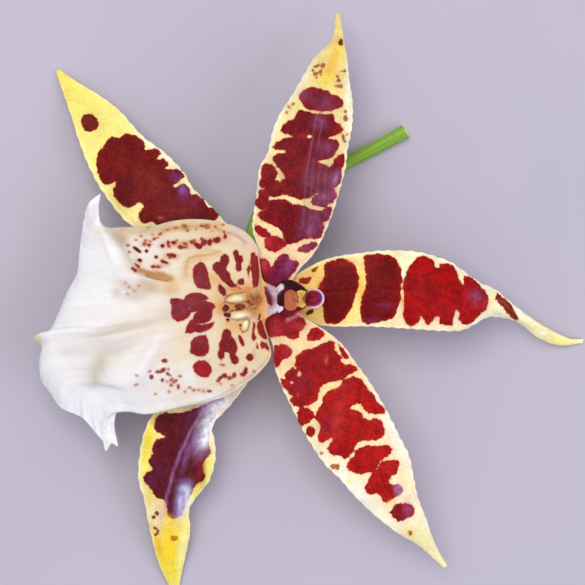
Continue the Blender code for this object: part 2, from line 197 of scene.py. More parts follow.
def insideOutline(px, py, outline):
    # how far inside a closed outline of points a place lies, in pixels
    closed = [*outline, outline[0]]
    within = np.zeros(px.shape, bool)
    for (ax, ay), (bx, by) in zip(closed, closed[1:]):
        spans = (ay > py) != (by > py)
        within ^= spans & (px < ax + (py - ay) * (bx - ax) / (by - ay + 1e-9))
    return np.where(within, 1.0, -1.0) * fromLine(px, py, closed)


def washed(colour, px, py, washes):
    # soft washes over a colour, tints of its own and painted light and shade alike: hex, strength,
    # ellipses or lines (half width, points)
    for hexColour, strength, shapes in washes:
        cover = np.zeros(px.shape)
        for shape in shapes:
            if len(shape) == 2:
                here = bell(fromLine(px, py, shape[1]) / shape[0])
            else:
                here = softEllipse(px, py, *shape)
            cover = np.maximum(cover, here)
        cover = (cover * strength)[..., None]
        colour = colour * (1 - cover) + linear(hexColour) * cover
    return colour


def paintOf(points, share, paint):
    # the ground colour, how deep in a spot each place lies (mm) and the spot's colour there, both
    # colours under painted sheen, highlights and tints
    px, py = inPhoto(points)
    shares = [row[0] for row in paint["ground"]]
    tints = np.array([linear(row[1]) for row in paint["ground"]])
    ground = np.stack([np.interp(share, shares, tints[:, i]) for i in range(3)], axis=-1)
    # the ground's own tints, and on the lip painted shade and highlights too
    ground = washed(ground, px, py, paint.get("stainsAndPaintedLight", []))
    merged = np.zeros(px.shape)
    total = np.full(px.shape, 1e-12)
    colour = np.zeros((*px.shape, 3))
    for hexColour, shapes in paint["spots"]:
        tint = linear(hexColour)
        for shape in shapes:
            toned = tint
            if isinstance(shape, list):  # a closed outline, redder at the edge
                inside = insideOutline(px, py, shape)
                if "rim" in paint:
                    redder = paint["rimShare"] * (1 - ramp(inside, *marking["rimFade"]))
                    toned = tint + redder[..., None] * (linear(paint["rim"]) - tint)
            elif len(shape) == 2:  # a line: width, points
                inside = shape[0] / 2 - fromLine(px, py, shape[1])
            else:
                inside = insideEllipse(px, py, *shape)
            merged += np.exp(np.clip(marking["merge"] * inside, -60, 60))
            weight = np.exp(np.clip(marking["mix"] * inside, -25, 5))
            total += weight
            colour += weight[..., None] * toned
    depth = np.log(merged + 1e-26) / marking["merge"]
    for width, line in paint.get("cracks", []):
        depth = np.minimum(depth, fromLine(px, py, line) - width / 2)
    for ellipse in paint.get("notches", []):
        depth = np.minimum(depth, -insideEllipse(px, py, *ellipse))
    colour = colour / total[..., None]
    # painted sheen, highlights and reflections, with some tints of the tissue's own colour, over
    # ground and spots alike
    paintedSheenAndTints = paint.get("paintedSheenAndTints", [])
    return washed(ground, px, py, paintedSheenAndTints), depth / seen["perMm"], washed(colour, px, py, paintedSheenAndTints)


def paintMarks(ground, depth, spot, index=slice(None)):
    # the paint as marks of a mesh, whose points are those of the grid that index picks
    ones = np.ones((*depth.shape, 1))
    return {
        "ground": np.concatenate([ground, ones], axis=2).reshape(-1, 4)[index],
        "spot": np.concatenate([spot, ones], axis=2).reshape(-1, 4)[index],
        "spotDepth": depth.reshape(-1)[index],
    }


# meshes

def meshPiece(name, points, faces, material, marks):
    # a mesh object at the origin, its place in its vertices; marks are values of its points
    shift = np.array([*seen["shift"], 0.0])
    mesh = bpy.data.meshes.new(name)
    mesh.from_pydata(((points + shift) * mm).tolist(), [], faces)
    kinds = {1: ("FLOAT", "value"), 3: ("FLOAT_VECTOR", "vector"), 4: ("FLOAT_COLOR", "color")}
    for mark, values in marks.items():
        kind, field = kinds[values[:1].size]
        layer = mesh.attributes.new(mark, kind, "POINT")
        layer.data.foreach_set(field, np.ascontiguousarray(values, np.float32).ravel())
    mesh.materials.append(material)
    mesh.shade_smooth()
    piece = bpy.data.objects.new(name, mesh)
    bpy.context.scene.collection.objects.link(piece)
    return piece


def gridFaces(rows, columns, start=0, closed=False, flip=False):
    # quads over a grid of points, joined round where the grid is closed
    row = np.arange(rows - 1)[:, None]
    column = np.arange(columns if closed else columns - 1)[None, :]
    following = (column + 1) % columns
    quads = np.stack([
        row * columns + column, row * columns + following,
        (row + 1) * columns + following, (row + 1) * columns + column,
    ], axis=-1).reshape(-1, 4) + start
    return (quads[:, ::-1] if flip else quads).tolist()


def shell(middle, above, below, push):
    # a thin closed sheet: a face above and below the middle surface, and a round rim
    rows, columns = middle.shape[:2]
    normals = normalsOf(middle)
    edge = [(0, column) for column in range(columns)]
    edge += [(row, columns - 1) for row in range(1, rows)]
    edge += [(rows - 1, column) for column in range(columns - 2, -1, -1)]
    edge += [(row, 0) for row in range(rows - 2, 0, -1)]
    count = rows * columns
    row, column = np.array(edge).T
    line = middle[row, column]
    ahead = np.roll(line, -1, axis=0) - np.roll(line, 1, axis=0)
    outward = np.cross(ahead, normals[row, column])
    outward /= np.linalg.norm(outward, axis=1, keepdims=True) + 1e-12
    inner = middle[np.clip(row, 1, rows - 2), np.clip(column, 1, columns - 2)]
    facing = np.einsum("ij,ij->i", outward, line - inner).sum()
    outward *= np.sign(facing)
    points = np.concatenate([
        (middle + normals * above[..., None]).reshape(-1, 3),
        (middle - normals * below[..., None]).reshape(-1, 3),
        line + outward * push,
    ])
    # the two faces look apart, and the rim's winding follows from the edge's own
    up = np.cross(middle[1, 0] - middle[0, 0], middle[0, 1] - middle[0, 0])[2] < 0
    faces = gridFaces(rows, columns, 0, flip=not up) + gridFaces(rows, columns, count, flip=up)
    top = row * columns + column
    rim = np.arange(len(edge)) + 2 * count
    for upper, lower in ((top, rim), (rim, top + count)):
        quads = np.stack([upper, np.roll(upper, -1), np.roll(lower, -1), lower], axis=1)
        faces += (quads[:, ::-1] if up else quads).tolist()
    index = np.concatenate([np.arange(count), np.arange(count), top])
    side = np.concatenate([np.zeros(count), np.ones(count), np.full(len(edge), 0.5)])
    return points, faces, index, side


# the skins of sepals, petals and lip

def paintedSkin(name, look):
    # A living epidermis over pale cells full of air and sap: the pigment lies in spots with
    # lobed edges, the veins run along the blade, and the wet cell domes break the gloss up.
    material, tree, shader, place = newSkin(name)
    depth, ground, spot, lay, back = [
        addNode(tree, "ShaderNodeAttribute", attribute_name=mark).outputs[output]
        for mark, output in (
            ("spotDepth", "Fac"), ("ground", "Color"), ("spot", "Color"), ("lay", "Vector"),
            ("back", "Fac"),
        )
    ]
    noise = {}
    for layer, seed, scale, detail, roughness in (
        ("lobes", 0, 1000 / look["lobeSize"], 2, 0.55),  # of the spots' outlines
        ("ragged", 3, 1000 / 0.42, 1, 0.5),  # cells along those outlines, drawn coarser
        ("mottle", 5, 620, 3, 0.65),  # blotches 1.6 mm wide
        ("clouds", 7, 260, 3, 0.5),  # 3.8 mm wide
        ("grains", 9, 2300, 2, 0.5),  # 0.43 mm wide
    ):
        noise[layer] = addNode(tree, "ShaderNodeTexNoise", {
            "Vector": place, "W": look["seed"] + seed, "Scale": scale, "Detail": detail,
            "Roughness": roughness}, noise_dimensions="4D").outputs["Fac"]
    # veins: streaks drawn out along the blade, a vein every half millimetre or so
    drawnOut = addNode(tree, "ShaderNodeVectorMath", {
        0: lay, 1: (look["veins"], 0.055, 0.0)}, operation="MULTIPLY").outputs[0]
    streaks = addNode(tree, "ShaderNodeTexNoise", {
        "Vector": drawnOut, "Scale": 1.0, "Detail": 3.0, "Roughness": 0.6}).outputs["Fac"]

    lobed = addNode(tree, "ShaderNodeMath", {
        0: noise["lobes"], 1: 2 * look["lobeReach"], 2: depth}, operation="MULTIPLY_ADD").outputs[0]
    edge = addNode(tree, "ShaderNodeMath", {
        0: noise["ragged"], 1: 2 * look["raggedReach"], 2: lobed},
        operation="MULTIPLY_ADD").outputs[0]
    level = look["lobeReach"] + look["raggedReach"] - look["spread"]
    share = {}
    for layer, source, start, end, low, high, curve in (
        ("spot", edge, level - look["edgeWidth"], level + look["edgeWidth"], 0, 1, "SMOOTHSTEP"),
        ("halo", edge, level - look["haloReach"], level + 0.08, 0, look["haloShare"],
            "SMOOTHSTEP"),
        ("mottle", noise["mottle"], 0.4, 0.62, 0, look["mottleShare"], "SMOOTHSTEP"),
        ("sparks", noise["grains"], 0.46, 0.7, 0, look["sparkShare"], "SMOOTHSTEP"),
        ("groundVeins", streaks, 0.35, 0.68, 0, look["groundVeinShare"], "LINEAR"),
        ("spotVeins", streaks, 0.35, 0.68, 0, look["spotVeinShare"], "LINEAR"),
        ("back", back, 0, 1, 0, look["backShare"], "LINEAR"),
        ("clouds", noise["clouds"], 0.3, 0.7, 1 - look["clouds"], 1 + look["clouds"], "LINEAR"),
        ("grains", noise["grains"], 0.3, 0.7, 1 - look["grains"], 1 + look["grains"], "LINEAR"),
    ):
        share[layer] = addNode(tree, "ShaderNodeMapRange", {
            0: source, 1: start, 2: end, 3: low, 4: high}, interpolation_type=curve).outputs[0]
    # over the ground its veins and the spots' warm edge, over a spot its veins, its blotches
    # and painted highlights of the single cells that catch the light
    colour = {"ground": ground, "spot": spot}
    for over, layer, tint, blend in (
        ("ground", "groundVeins", "groundVein", "MULTIPLY"), ("ground", "halo", "halo", "MIX"),
        ("spot", "spotVeins", "spotVein", "MIX"), ("spot", "mottle", "spotVein", "MIX"),
        ("spot", "sparks", "spark", "MIX"),
    ):
        colour[over] = addNode(tree, "ShaderNodeMix", {
            0: share[layer], 6: colour[over], 7: rgba(look[tint])},
            data_type="RGBA", blend_type=blend).outputs[2]
    front = addNode(tree, "ShaderNodeMix", {
        0: share["spot"], 6: colour["ground"], 7: colour["spot"]}, data_type="RGBA").outputs[2]
    light = addNode(tree, "ShaderNodeMath", {
        0: share["clouds"], 1: share["grains"]}, operation="MULTIPLY").outputs[0]
    lit = addNode(tree, "ShaderNodeVectorMath", {
        0: front, "Scale": light}, operation="SCALE").outputs[0]
    # the back has less pigment: the spots show through it, duller
    seenColour = addNode(tree, "ShaderNodeMix", {
        0: share["back"], 6: lit, 7: rgba(look["backColour"])}, data_type="RGBA").outputs[2]
    # gloss: the pigmented cells are fuller and shine more than the ground
    gloss = addNode(tree, "ShaderNodeMapRange", {
        0: share["spot"], 3: look["groundRoughness"], 4: look["spotRoughness"]}).outputs[0]
    brokenGloss = addNode(tree, "ShaderNodeMath", {
        0: gloss, 1: share["grains"]}, operation="MULTIPLY").outputs[0]
    # relief: cell domes, real ones 0.06 mm and drawn six times as coarse, over the veins
    cells = addNode(tree, "ShaderNodeTexVoronoi", {
        "Vector": place, "Scale": 1000 / 0.36}).outputs["Distance"]
    veinRise = addNode(tree, "ShaderNodeBump", {
        "Strength": look["veinBump"], "Distance": 0.0002, "Height": streaks}).outputs[0]
    cellRise = addNode(tree, "ShaderNodeBump", {
        "Strength": look["cellBump"], "Distance": 0.00006, "Height": cells,
        "Normal": veinRise}, invert=True).outputs[0]
    feed(tree, shader, {
        "Base Color": seenColour, "Roughness": brokenGloss, "Normal": cellRise, "IOR": 1.42,
        "Specular IOR Level": look["specular"], "Subsurface Weight": look["subsurface"],
        "Subsurface Radius": (1.0, 0.55, 0.35), "Subsurface Scale": 0.0008,
    })
    return material


sepalLook = {
    "seed": 11.0, "lobeSize": 1.1, "lobeReach": 0.5, "raggedReach": 0.14,
    "edgeWidth": 0.11, "spread": 0.07,  # of a spot, in mm
    "mottleShare": 0.38, "spark": "#b03c40", "sparkShare": 0.12, "clouds": 0.12, "grains": 0.10,
    "veins": 12.0, "groundVein": "#f0cc60", "groundVeinShare": 0.22,
    "spotVein": "#3c040c", "spotVeinShare": 0.1,
    "halo": "#d87038", "haloShare": 0.45, "haloReach": 0.32,
    "backShare": 0.35, "backColour": "#c9a04a", "groundRoughness": 0.5, "spotRoughness": 0.42,
    "veinBump": 0.22, "cellBump": 0.35, "specular": 0.07, "subsurface": 0.12,
}
petalLook = {**sepalLook, "seed": 23.0, "veins": 14.0, "spark": "#a84a5c", "sparkShare": 0.15}
lipLook = {
    "seed": 37.0, "lobeSize": 1.1, "lobeReach": 0.22, "raggedReach": 0.12,
    "edgeWidth": 0.11, "spread": 0.04,
    "mottleShare": 0.36, "spark": "#b06a80", "sparkShare": 0.12, "clouds": 0.03, "grains": 0.03,
    "veins": 16.0, "groundVein": "#ece0d0", "groundVeinShare": 0.3,
    "spotVein": "#5c0c18", "spotVeinShare": 0.12,
    "halo": "#e08a66", "haloShare": 0.6, "haloReach": 0.4,
    "backShare": 0.3, "backColour": "#f4efe6", "groundRoughness": 0.55, "spotRoughness": 0.42,
    "veinBump": 0.3, "cellBump": 0.25, "specular": 0.16, "subsurface": 0.2,
}
sepalSkin = paintedSkin("sepal_epidermis_spotted", sepalLook)
petalSkin = paintedSkin("petal_epidermis_spotted", petalLook)
lipSkin = paintedSkin("lip_epidermis_white", lipLook)
print("petal and lip skins made")


# sepals and petals

blade = {
    "rows": 220, "columns": 72,
    "half": 0.20, "marginHalf": 0.10,  # half the thickness, at the middle and the margin
    "groove": 0.16, "grooveWidth": 0.05,  # the midrib, a groove above and a keel below
    "keelRise": 0.22, "keelWidth": 0.06,
    "veins": (-0.78, -0.56, -0.36, -0.18, 0.18, 0.36, 0.56, 0.78),
    "veinRise": 0.05, "veinWidth": 0.035, "veinDent": 0.4,  # the dent is a share of the rise
    "nibble": 0.09,  # the finest unevenness of the margins
    "spotRise": 0.05, "clear": "#fffdf0", "clearShare": 0.4,
}


def dressBlade(values, material):
    outline = np.array(values["outline"])
    middleLine = (outline[:, :2] + outline[:, 2:]) / 2
    rows = np.linspace(0, 1, blade["rows"] + 1)
    along = rows[:, None]
    across = np.linspace(-1, 1, blade["columns"] + 1)
    out = np.abs(across)[None, :]
    right = (across + 1)[None, :, None] / 2
    margins = through(range(len(outline)), outline, places(middleLine, rows))
    stations = np.array(values["stations"])
    heights = through(stations[:, 0], stations[:, 1:], rows)
    points = np.zeros((len(rows), len(across), 3))
    points[..., :2] = margins[:, None, :2] * (1 - right) + margins[:, None, 2:] * right
    side = np.where(across < 0, heights[:, 1:2], heights[:, 2:3])
    points[..., 2] = heights[:, :1] + side * out ** values["keel"]
    swell = np.sin(math.pi * along)
    size, count, phase = values["waves"]
    turns = 2 * math.pi * count * along + phase + 1.7 * (across > 0)
    points[..., 2] += size * np.sin(turns) * out**3 * swell
    # finer crisping of the margins, up and down and in and out
    size, count = values["crisp"]
    turns = 2 * math.pi * count * along + 2.3 * phase + 2.9 * (across > 0)
    crisp = np.sin(turns) + 0.6 * np.sin(1.73 * turns + 1.1)
    points[..., 2] += size * crisp * out**5 * swell
    sideways = margins[:, 2:] - margins[:, :2]
    sideways /= np.linalg.norm(sideways, axis=1, keepdims=True) + 1e-9
    nibble = blade["nibble"] * np.sin(2.9 * turns + 0.7) * out**8 * swell
    points[..., :2] += sideways[:, None] * (nibble * np.sign(across))[..., None]
    points = widened(points)
    ground, depth, spot = paintOf(points, np.broadcast_to(along, points.shape[:2]), values)
    # the outermost cells of the margin hold hardly any colour
    clear = (blade["clearShare"] * ramp(out, 0.9, 1.0))[..., None]
    ground = ground + clear * (linear(blade["clear"]) - ground)

    half = blade["half"] + (blade["marginHalf"] - blade["half"]) * out**2.5
    fade = ramp(along, 0, 0.12) * (1 - ramp(along, 0.9, 1.0))
    groove = blade["groove"] * bell(across / blade["grooveWidth"]) * fade * values["grooved"]
    above = half - groove + blade["spotRise"] * ramp(depth, 0.0, 0.5) * (1 - out**6)
    below = half + blade["keelRise"] * bell(across / blade["keelWidth"]) * fade
    for vein in blade["veins"]:
        rise = blade["veinRise"] * bell((across - vein) / blade["veinWidth"]) * fade
        below = below + rise
        above = above - blade["veinDent"] * rise
    if values["touches"]:
        # the tip comes down on the ground, more closely the second time
        for _ in range(2):
            lowest = shell(points, above, below, blade["marginHalf"])[0][:, 2].min()
            points[..., 2] -= lowest * along**6
    solid, faces, index, under = shell(points, above, below, blade["marginHalf"])
    if values["touches"]:
        solid[:, 2] = np.maximum(solid[:, 2], 0.0)
    length = np.linalg.norm(np.diff(middleLine, axis=0), axis=1).sum()
    lay = np.stack(np.broadcast_arrays(across, along * length, phase), axis=2)
    marks = paintMarks(ground, depth, spot, index)
    marks["lay"] = lay.reshape(-1, 3)[index]
    marks["back"] = under
    piece = meshPiece(values["name"], solid, faces, material, marks)
    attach(piece, "root")
    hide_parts(values["node"])
    print(values["name"], len(faces), "faces")


dorsalSepal = {
    "name": "dorsalSepal", "node": "dorsal_sepal", "slot": "sepal", "rim": "#b01810",
    "rimShare": 0.35,
    "outline": [
        (1.8, 1.4, 1.8, -1.0), (3.1, 4.1, 3.5, -2.9), (6.1, 6.1, 5.7, -4.3),
        (9.2, 7.6, 8.6, -5.5), (12.4, 8.5, 12.9, -5.8), (16.1, 9.0, 16.7, -5.7),
        (21.2, 9.6, 21.8, -5.9), (28.2, 9.4, 28.0, -6.3), (34.5, 7.6, 34.3, -6.7),
        (37.8, 5.5, 37.6, -6.5), (41.2, 3.1, 39.8, -5.5), (44.5, 1.6, 42.7, -3.9),
        (47.8, -1.2, 45.3, -3.9), (52.2, -4.5, 49.0, -4.9), (55.9, -6.7, 53.1, -8.0),
        (59.6, -8.4, 57.3, -9.6), (62.4, -8.4, 62.2, -9.2),
    ],
    "stations": [
        (0.0, 16.0, 0.0, 0.0), (0.15, 16.5, -0.4, -0.4), (0.35, 16.9, -1.6, -1.7),
        (0.55, 14.9, -2.0, -2.2), (0.75, 9.2, -1.2, -1.6), (0.9, 3.4, -0.4, -0.5),
        (1.0, 0.6, 0.0, 0.0),
    ],
    "keel": 1.9, "waves": (0.3, 4.5, 0.4), "crisp": (0.14, 10.0), "touches": True, "grooved": 1.0,
    "ground": [
        (0.0, "#e9be68"), (0.12, "#eecd72"), (0.3, "#fae8b4"), (0.6, "#fdf2d0"),
        (0.74, "#fef9d8"), (0.86, "#fdf4b0"), (0.94, "#fbf29c"), (1.0, "#fbf4b4"),
    ],
    "stainsAndPaintedLight": [
        ("#f6cc4c", 0.85, [(362, 285, 4, 24)]), ("#f8e47a", 0.8, [(355, 313, 6, 12, 15)]),
        ("#e8884c", 0.7, [(402, 301, 2, 10)]), ("#f2b84e", 0.7, [(360, 292, 2.5, 14)]),
        ("#fffdf2", 0.9, [(542, 333, 5, 2.4, 20), (403, 272, 1.6, 8)]),
        ("#f4e878", 0.6, [(492, 300, 5, 8)]),
        ("#f6f2a4", 0.7, [(345, 258, 26, 4, -8), (462, 330, 26, 3, -4)]),
    ],
    "spots": [
        ("#9c2420", [[(299, 279), (305, 278), (312, 276.5), (309, 283), (303, 284), (298, 283)]]),
        ("#7a4a1e", [(315, 269.5, 3.2, 1.5, -45)]), ("#5a2a10", [(310, 312, 4, 1.7, -35)]),
        ("#720a06", [[
            (324, 265), (330, 262), (337, 259.5), (343, 259), (349, 261), (354, 265), (357, 270),
            (358.5, 277), (359, 284), (357, 292), (354, 300), (352, 306), (348, 312), (345, 318),
            (340, 322), (333, 324), (326, 323), (324, 319), (324, 312), (322, 305), (321, 298),
            (318, 288), (322, 281), (325, 275), (324, 269),
        ]]),
        ("#740c0c", [[
            (364, 256), (371, 254), (380, 254.5), (389, 256), (396, 260), (400, 268), (402, 278),
            (401, 289), (400, 300), (397, 308), (395, 315), (391, 319), (384, 320.5), (375, 322),
            (368, 324), (362, 321), (360, 312), (361, 301), (364, 291), (367, 281), (365, 271),
            (365, 263),
        ]]),
        # brighter red than the two inner blotches: the sepal's own red, lifted by painted light
        # shining through it
        ("#ac0e08", [[
            (424, 256), (429, 259), (433, 261), (435, 267), (439, 269), (440, 265), (444, 263.5),
            (449, 264), (453, 267), (456, 272), (458, 278), (461, 283), (463, 285), (464, 277),
            (467, 276), (472, 279), (478, 284), (484, 290), (487, 296), (488, 303), (486, 309),
            (481, 312), (477, 317), (473, 321), (468, 324), (463, 324), (459, 320), (459, 312),
            (457, 308), (455, 312), (453, 318), (452, 325), (445, 325), (440, 323), (440, 317),
            (438, 315), (434, 318), (431, 322), (428, 326), (425, 322), (423, 316), (420, 316),
            (418, 321), (414, 325), (409, 326), (405, 322), (403, 314), (404, 305), (404, 296),
            (403, 287), (405, 277), (409, 268), (414, 261), (419, 257),
        ]]),
        ("#7c2c14", [[
            (497, 293), (501, 297), (506, 301), (511, 306), (514, 312), (518, 318), (516, 320),
            (510, 315), (504, 309), (499, 303), (495, 299),
        ]]),
    ],
    "paintedSheenAndTints": [
        ("#9a4a68", 0.9, [(476, 297, 8, 7, 30)]), ("#b8283a", 0.6, [(481, 304, 6, 4)]),
        ("#84305c", 0.5, [(372, 320, 9, 3.5, -6), (386, 306, 8, 4)]),
        # the bright red: more painted light shining through the outer blotch
        ("#b81216", 0.6, [(432, 312, 26, 9), (444, 272, 6, 6), (425, 266, 6, 7)]),
        ("#8c1416", 0.7, [(425, 288, 16, 10)]),
        ("#9c1c18", 0.7, [(372, 262, 7, 8), (322, 288, 4, 7), (343, 263, 12, 4)]),
        ("#b86a58", 0.5, [(503, 303, 7, 1.2, 45)]),
    ],
}
upperLateralSepal = {
    "name": "upperLateralSepal", "node": "lateral_sepal_upper", "slot": "sepal", "rim": "#8c2420",
    "rimShare": 0.35,
    "outline": [
        (-1.6, 0.8, -0.2, 1.8), (-5.3, 2.9, -2.4, 5.7), (-10.2, 5.7, -6.1, 10.4),
        (-14.9, 8.4, -10.0, 14.5), (-19.6, 10.4, -12.9, 17.8), (-24.1, 12.4, -15.3, 20.2),
        (-28.2, 14.1, -17.8, 22.9), (-31.0, 15.7, -19.2, 25.5), (-35.1, 20.8, -22.9, 29.4),
        (-38.0, 25.7, -27.8, 33.1), (-40.4, 31.6, -32.2, 38.0), (-42.0, 36.7, -36.3, 41.2),
        (-43.7, 41.6, -40.8, 43.9), (-45.3, 46.3, -44.7, 46.7),
    ],
    "stations": [
        (0.0, 16.0, 0.0, 0.0), (0.15, 15.8, -0.3, -0.3), (0.35, 14.6, -0.9, -1.2),
        (0.5, 13.0, -1.2, -1.8), (0.7, 9.0, -1.0, -1.4), (0.85, 4.8, -0.4, -0.6),
        (1.0, 0.6, 0.0, 0.0),
    ],
    "keel": 1.5, "waves": (0.3, 4.0, 2.1), "crisp": (0.13, 9.0), "touches": True, "grooved": 1.0,
    "ground": [(0.0, "#f8eccc"), (0.4, "#fdecaa"), (0.7, "#fdee8c"), (1.0, "#f8ea74")],
    "stainsAndPaintedLight": [
        ("#faf0dc", 0.9, [(160, 152, 30, 5, 42), (205, 195, 14, 5, 42)]),
        ("#f4dc50", 0.5, [(118, 205, 12, 14)]),
    ],
    "spots": [
        ("#761816", [[
            (143, 142), (145, 146), (144.5, 150.5), (150, 150), (155, 149), (159, 151),
            (161, 154), (158, 158), (156, 160), (160, 159.5), (164, 159), (167, 162), (168, 166),
            (165, 168), (163.5, 170), (170, 170), (176, 169.5), (180, 171), (184, 174),
            (184, 177), (181, 180), (176, 183), (172, 186), (174, 188), (179, 186), (184, 184),
            (188, 187), (190, 192), (191, 197), (193, 195), (196, 195), (201, 198), (204, 200),
            (205, 204), (208, 208), (213, 208), (217, 211), (219, 215), (216, 219), (213, 224),
            (204, 232), (186, 236), (170, 233), (158, 226), (153, 221), (146, 223), (142, 222),
            (139, 218), (140, 214), (141, 210), (144, 208), (143, 204), (140, 202), (135, 205),
            (130, 208), (124, 206), (119, 202), (115, 196), (113, 191), (116, 187), (116, 182),
            (112, 183), (108, 185), (104, 184), (101, 179), (98, 171), (97, 162), (99, 152),
            (104, 147), (107, 141), (113, 137), (119, 139), (125, 134), (132, 135), (139, 138),
        ]]),
        ("#7a2420", [(90, 123, 9, 8, 50)]),
    ],
    "paintedSheenAndTints": [
        # mauve painted sheen on the side facing the light, this line and the next
        ("#8058a6", 0.95, [(183, 190, 4.5, 6.5, -25)]), ("#7c3c74", 0.8, [(176, 177, 6, 5)]),
        ("#78304a", 0.6, [(194, 203, 7, 8), (184, 200, 8, 6)]),
        ("#561418", 0.6, [(125, 190, 10, 14), (200, 217, 16, 4)]),
        ("#8c3024", 0.5, [(150, 180, 16, 10, 40), (178, 212, 14, 6)]),
        ("#c06460", 0.7, [(161, 218, 3, 1.8)]),
    ],
}
lowerLateralSepal = {
    "name": "lowerLateralSepal", "node": "lateral_sepal_lower", "slot": "sepal", "rim": "#7c2230",
    "rimShare": 0.4,
    "outline": [
        (-0.2, -1.8, -1.4, -1.0), (-2.0, -6.5, -5.3, -4.1), (-3.9, -11.6, -11.4, -9.0),
        (-5.7, -16.3, -18.0, -14.5), (-9.4, -21.4, -22.4, -19.2), (-13.3, -25.9, -25.5, -23.7),
        (-12.9, -29.6, -27.3, -27.6), (-12.9, -33.3, -28.2, -32.0), (-14.1, -37.3, -28.4, -37.1),
        (-16.7, -40.6, -27.3, -41.0), (-18.2, -43.3, -26.5, -45.3), (-18.0, -47.3, -25.5, -49.8),
        (-18.8, -52.0, -24.3, -54.1), (-19.8, -56.5, -22.4, -58.2), (-20.4, -60.3, -21.2, -60.5),
    ],
    "stations": [
        (0.0, 16.0, 0.0, 0.0), (0.15, 15.9, -0.4, -0.3), (0.35, 14.2, -1.6, -0.9),
        (0.5, 12.6, -2.8, -1.2), (0.65, 10.4, -2.8, -1.3), (0.8, 6.6, -1.4, -1.0),
        (0.92, 2.4, -0.4, -0.4), (1.0, 0.6, 0.0, 0.0),
    ],
    "keel": 1.25, "waves": (0.3, 4.0, 1.2), "crisp": (0.15, 9.0), "touches": True, "grooved": 1.6,
    "ground": [
        (0.0, "#efe2c4"), (0.35, "#f0e0b4"), (0.6, "#f6e478"), (0.78, "#f2dc58"),
        (0.86, "#f4de48"), (0.95, "#f2e35c"), (1.0, "#eeee9c"),
    ],
    "stainsAndPaintedLight": [
        ("#f4df40", 0.95, [(148, 440, 6, 26, 8)]), ("#efe4a4", 0.8, [(142, 482, 5, 16)]),
        ("#eadcc0", 0.85, [(156, 514, 8, 16)]), ("#f4e6a0", 0.8, [(146, 505, 3, 16, -10)]),
        ("#fbf284", 0.9, [(209, 466, 5, 16, 10)]), ("#f8f4c0", 0.8, [(190, 506, 4, 20)]),
        ("#f5d624", 0.8, [(170, 548, 6, 24, -8)]), ("#fbf7a8", 0.85, [(183, 545, 5, 30, 8)]),
        ("#f0a040", 0.5, [(159, 545, 3, 14, -14)]), ("#d8b0b0", 0.5, [(161, 515, 4, 14, -4)]),
    ],
    "spots": [
        ("#5e1a20", [[
            (212, 402), (206, 404), (200, 407), (194, 409), (188, 411), (180, 413), (172, 413),
            (165, 413), (160, 414), (157, 418), (155, 423), (155, 429), (158, 432), (163, 434),
            (167, 437), (160, 438.5), (156, 440), (154, 443), (152.5, 448), (154, 453),
            (151, 457), (148, 461), (151, 465), (155, 468.5), (151, 471), (147, 473), (144, 477),
            (145, 482), (149, 485), (151, 489), (153, 493), (157, 497), (161, 499), (164, 498),
            (166, 502), (167, 508), (168, 514), (172, 518), (177, 517), (181, 514), (184, 508),
            (187, 500), (190, 494), (192, 490), (195, 485), (199, 482), (203, 480), (205, 476),
            (203, 471), (202, 466), (203, 461), (207, 457), (210, 452), (209, 449), (208, 440),
            (209, 430), (212, 420), (216, 411), (222, 404), (224, 398), (218, 396),
        ]]),
        ("#f0921c", [(174, 538, 3, 2.4)]),
        ("#7a4a34", [
            (154, 517, 1.8, 1.4), (157, 513, 1.4, 1.8), (155, 528, 1.8, 1.3),
            (158, 531, 1.3, 1.8), (156, 534, 1.2, 1.0),
        ]),
    ],
    "paintedSheenAndTints": [
        ("#8a1c10", 0.95, [(201, 469, 4.5, 13)]),
        ("#5e2444", 0.7, [(152, 480, 7, 9), (160, 470, 8, 12), (190, 420, 8, 18, 22)]),
        ("#4e2020", 0.6, [(163, 420, 9, 7)]),
        # down to the orange mark: lilac painted sheen along the midrib and over the spots, and
        # white painted reflections where the blade slopes towards the light
        ("#b682b8", 0.8, [
            (199, 416, 1.5, 13, 28), (187, 438, 1.5, 13, 24), (178, 459, 1.6, 13, 18),
            (171, 481, 1.6, 13, 14), (166, 502, 1.6, 10, 6),
        ]),
        ("#8e5a94", 0.75, [(196, 432, 3, 16, 22), (186, 456, 3, 14, 16), (204, 408, 5, 5)]),
        ("#a880c8", 0.9, [(199, 442, 5, 12, 8), (211, 406, 8, 5, -35)]),
        ("#fbfbff", 1.0, [(208, 424, 7.5, 20, 18), (204, 440, 6, 8), (216, 406, 10, 5.5, -30)]),
        ("#ffffff", 0.95, [(213, 420, 5, 20, 14), (224, 403, 7, 5, -30)]),
        ("#9a4a84", 0.8, [(206, 452, 6, 2.6)]),
        ("#cfcdfa", 1.0, [(184, 489, 6, 7, 20), (180, 504, 4.5, 15, 6)]),
        ("#fbfaff", 0.95, [(186, 501, 3.4, 12, 10)]),
        ("#8a5a9a", 0.7, [(184, 481, 7, 3, 10), (175, 506, 2, 10, 4)]),
        ("#c07a20", 0.8, [(170, 515, 4, 2.5, 30)]),
    ],
}
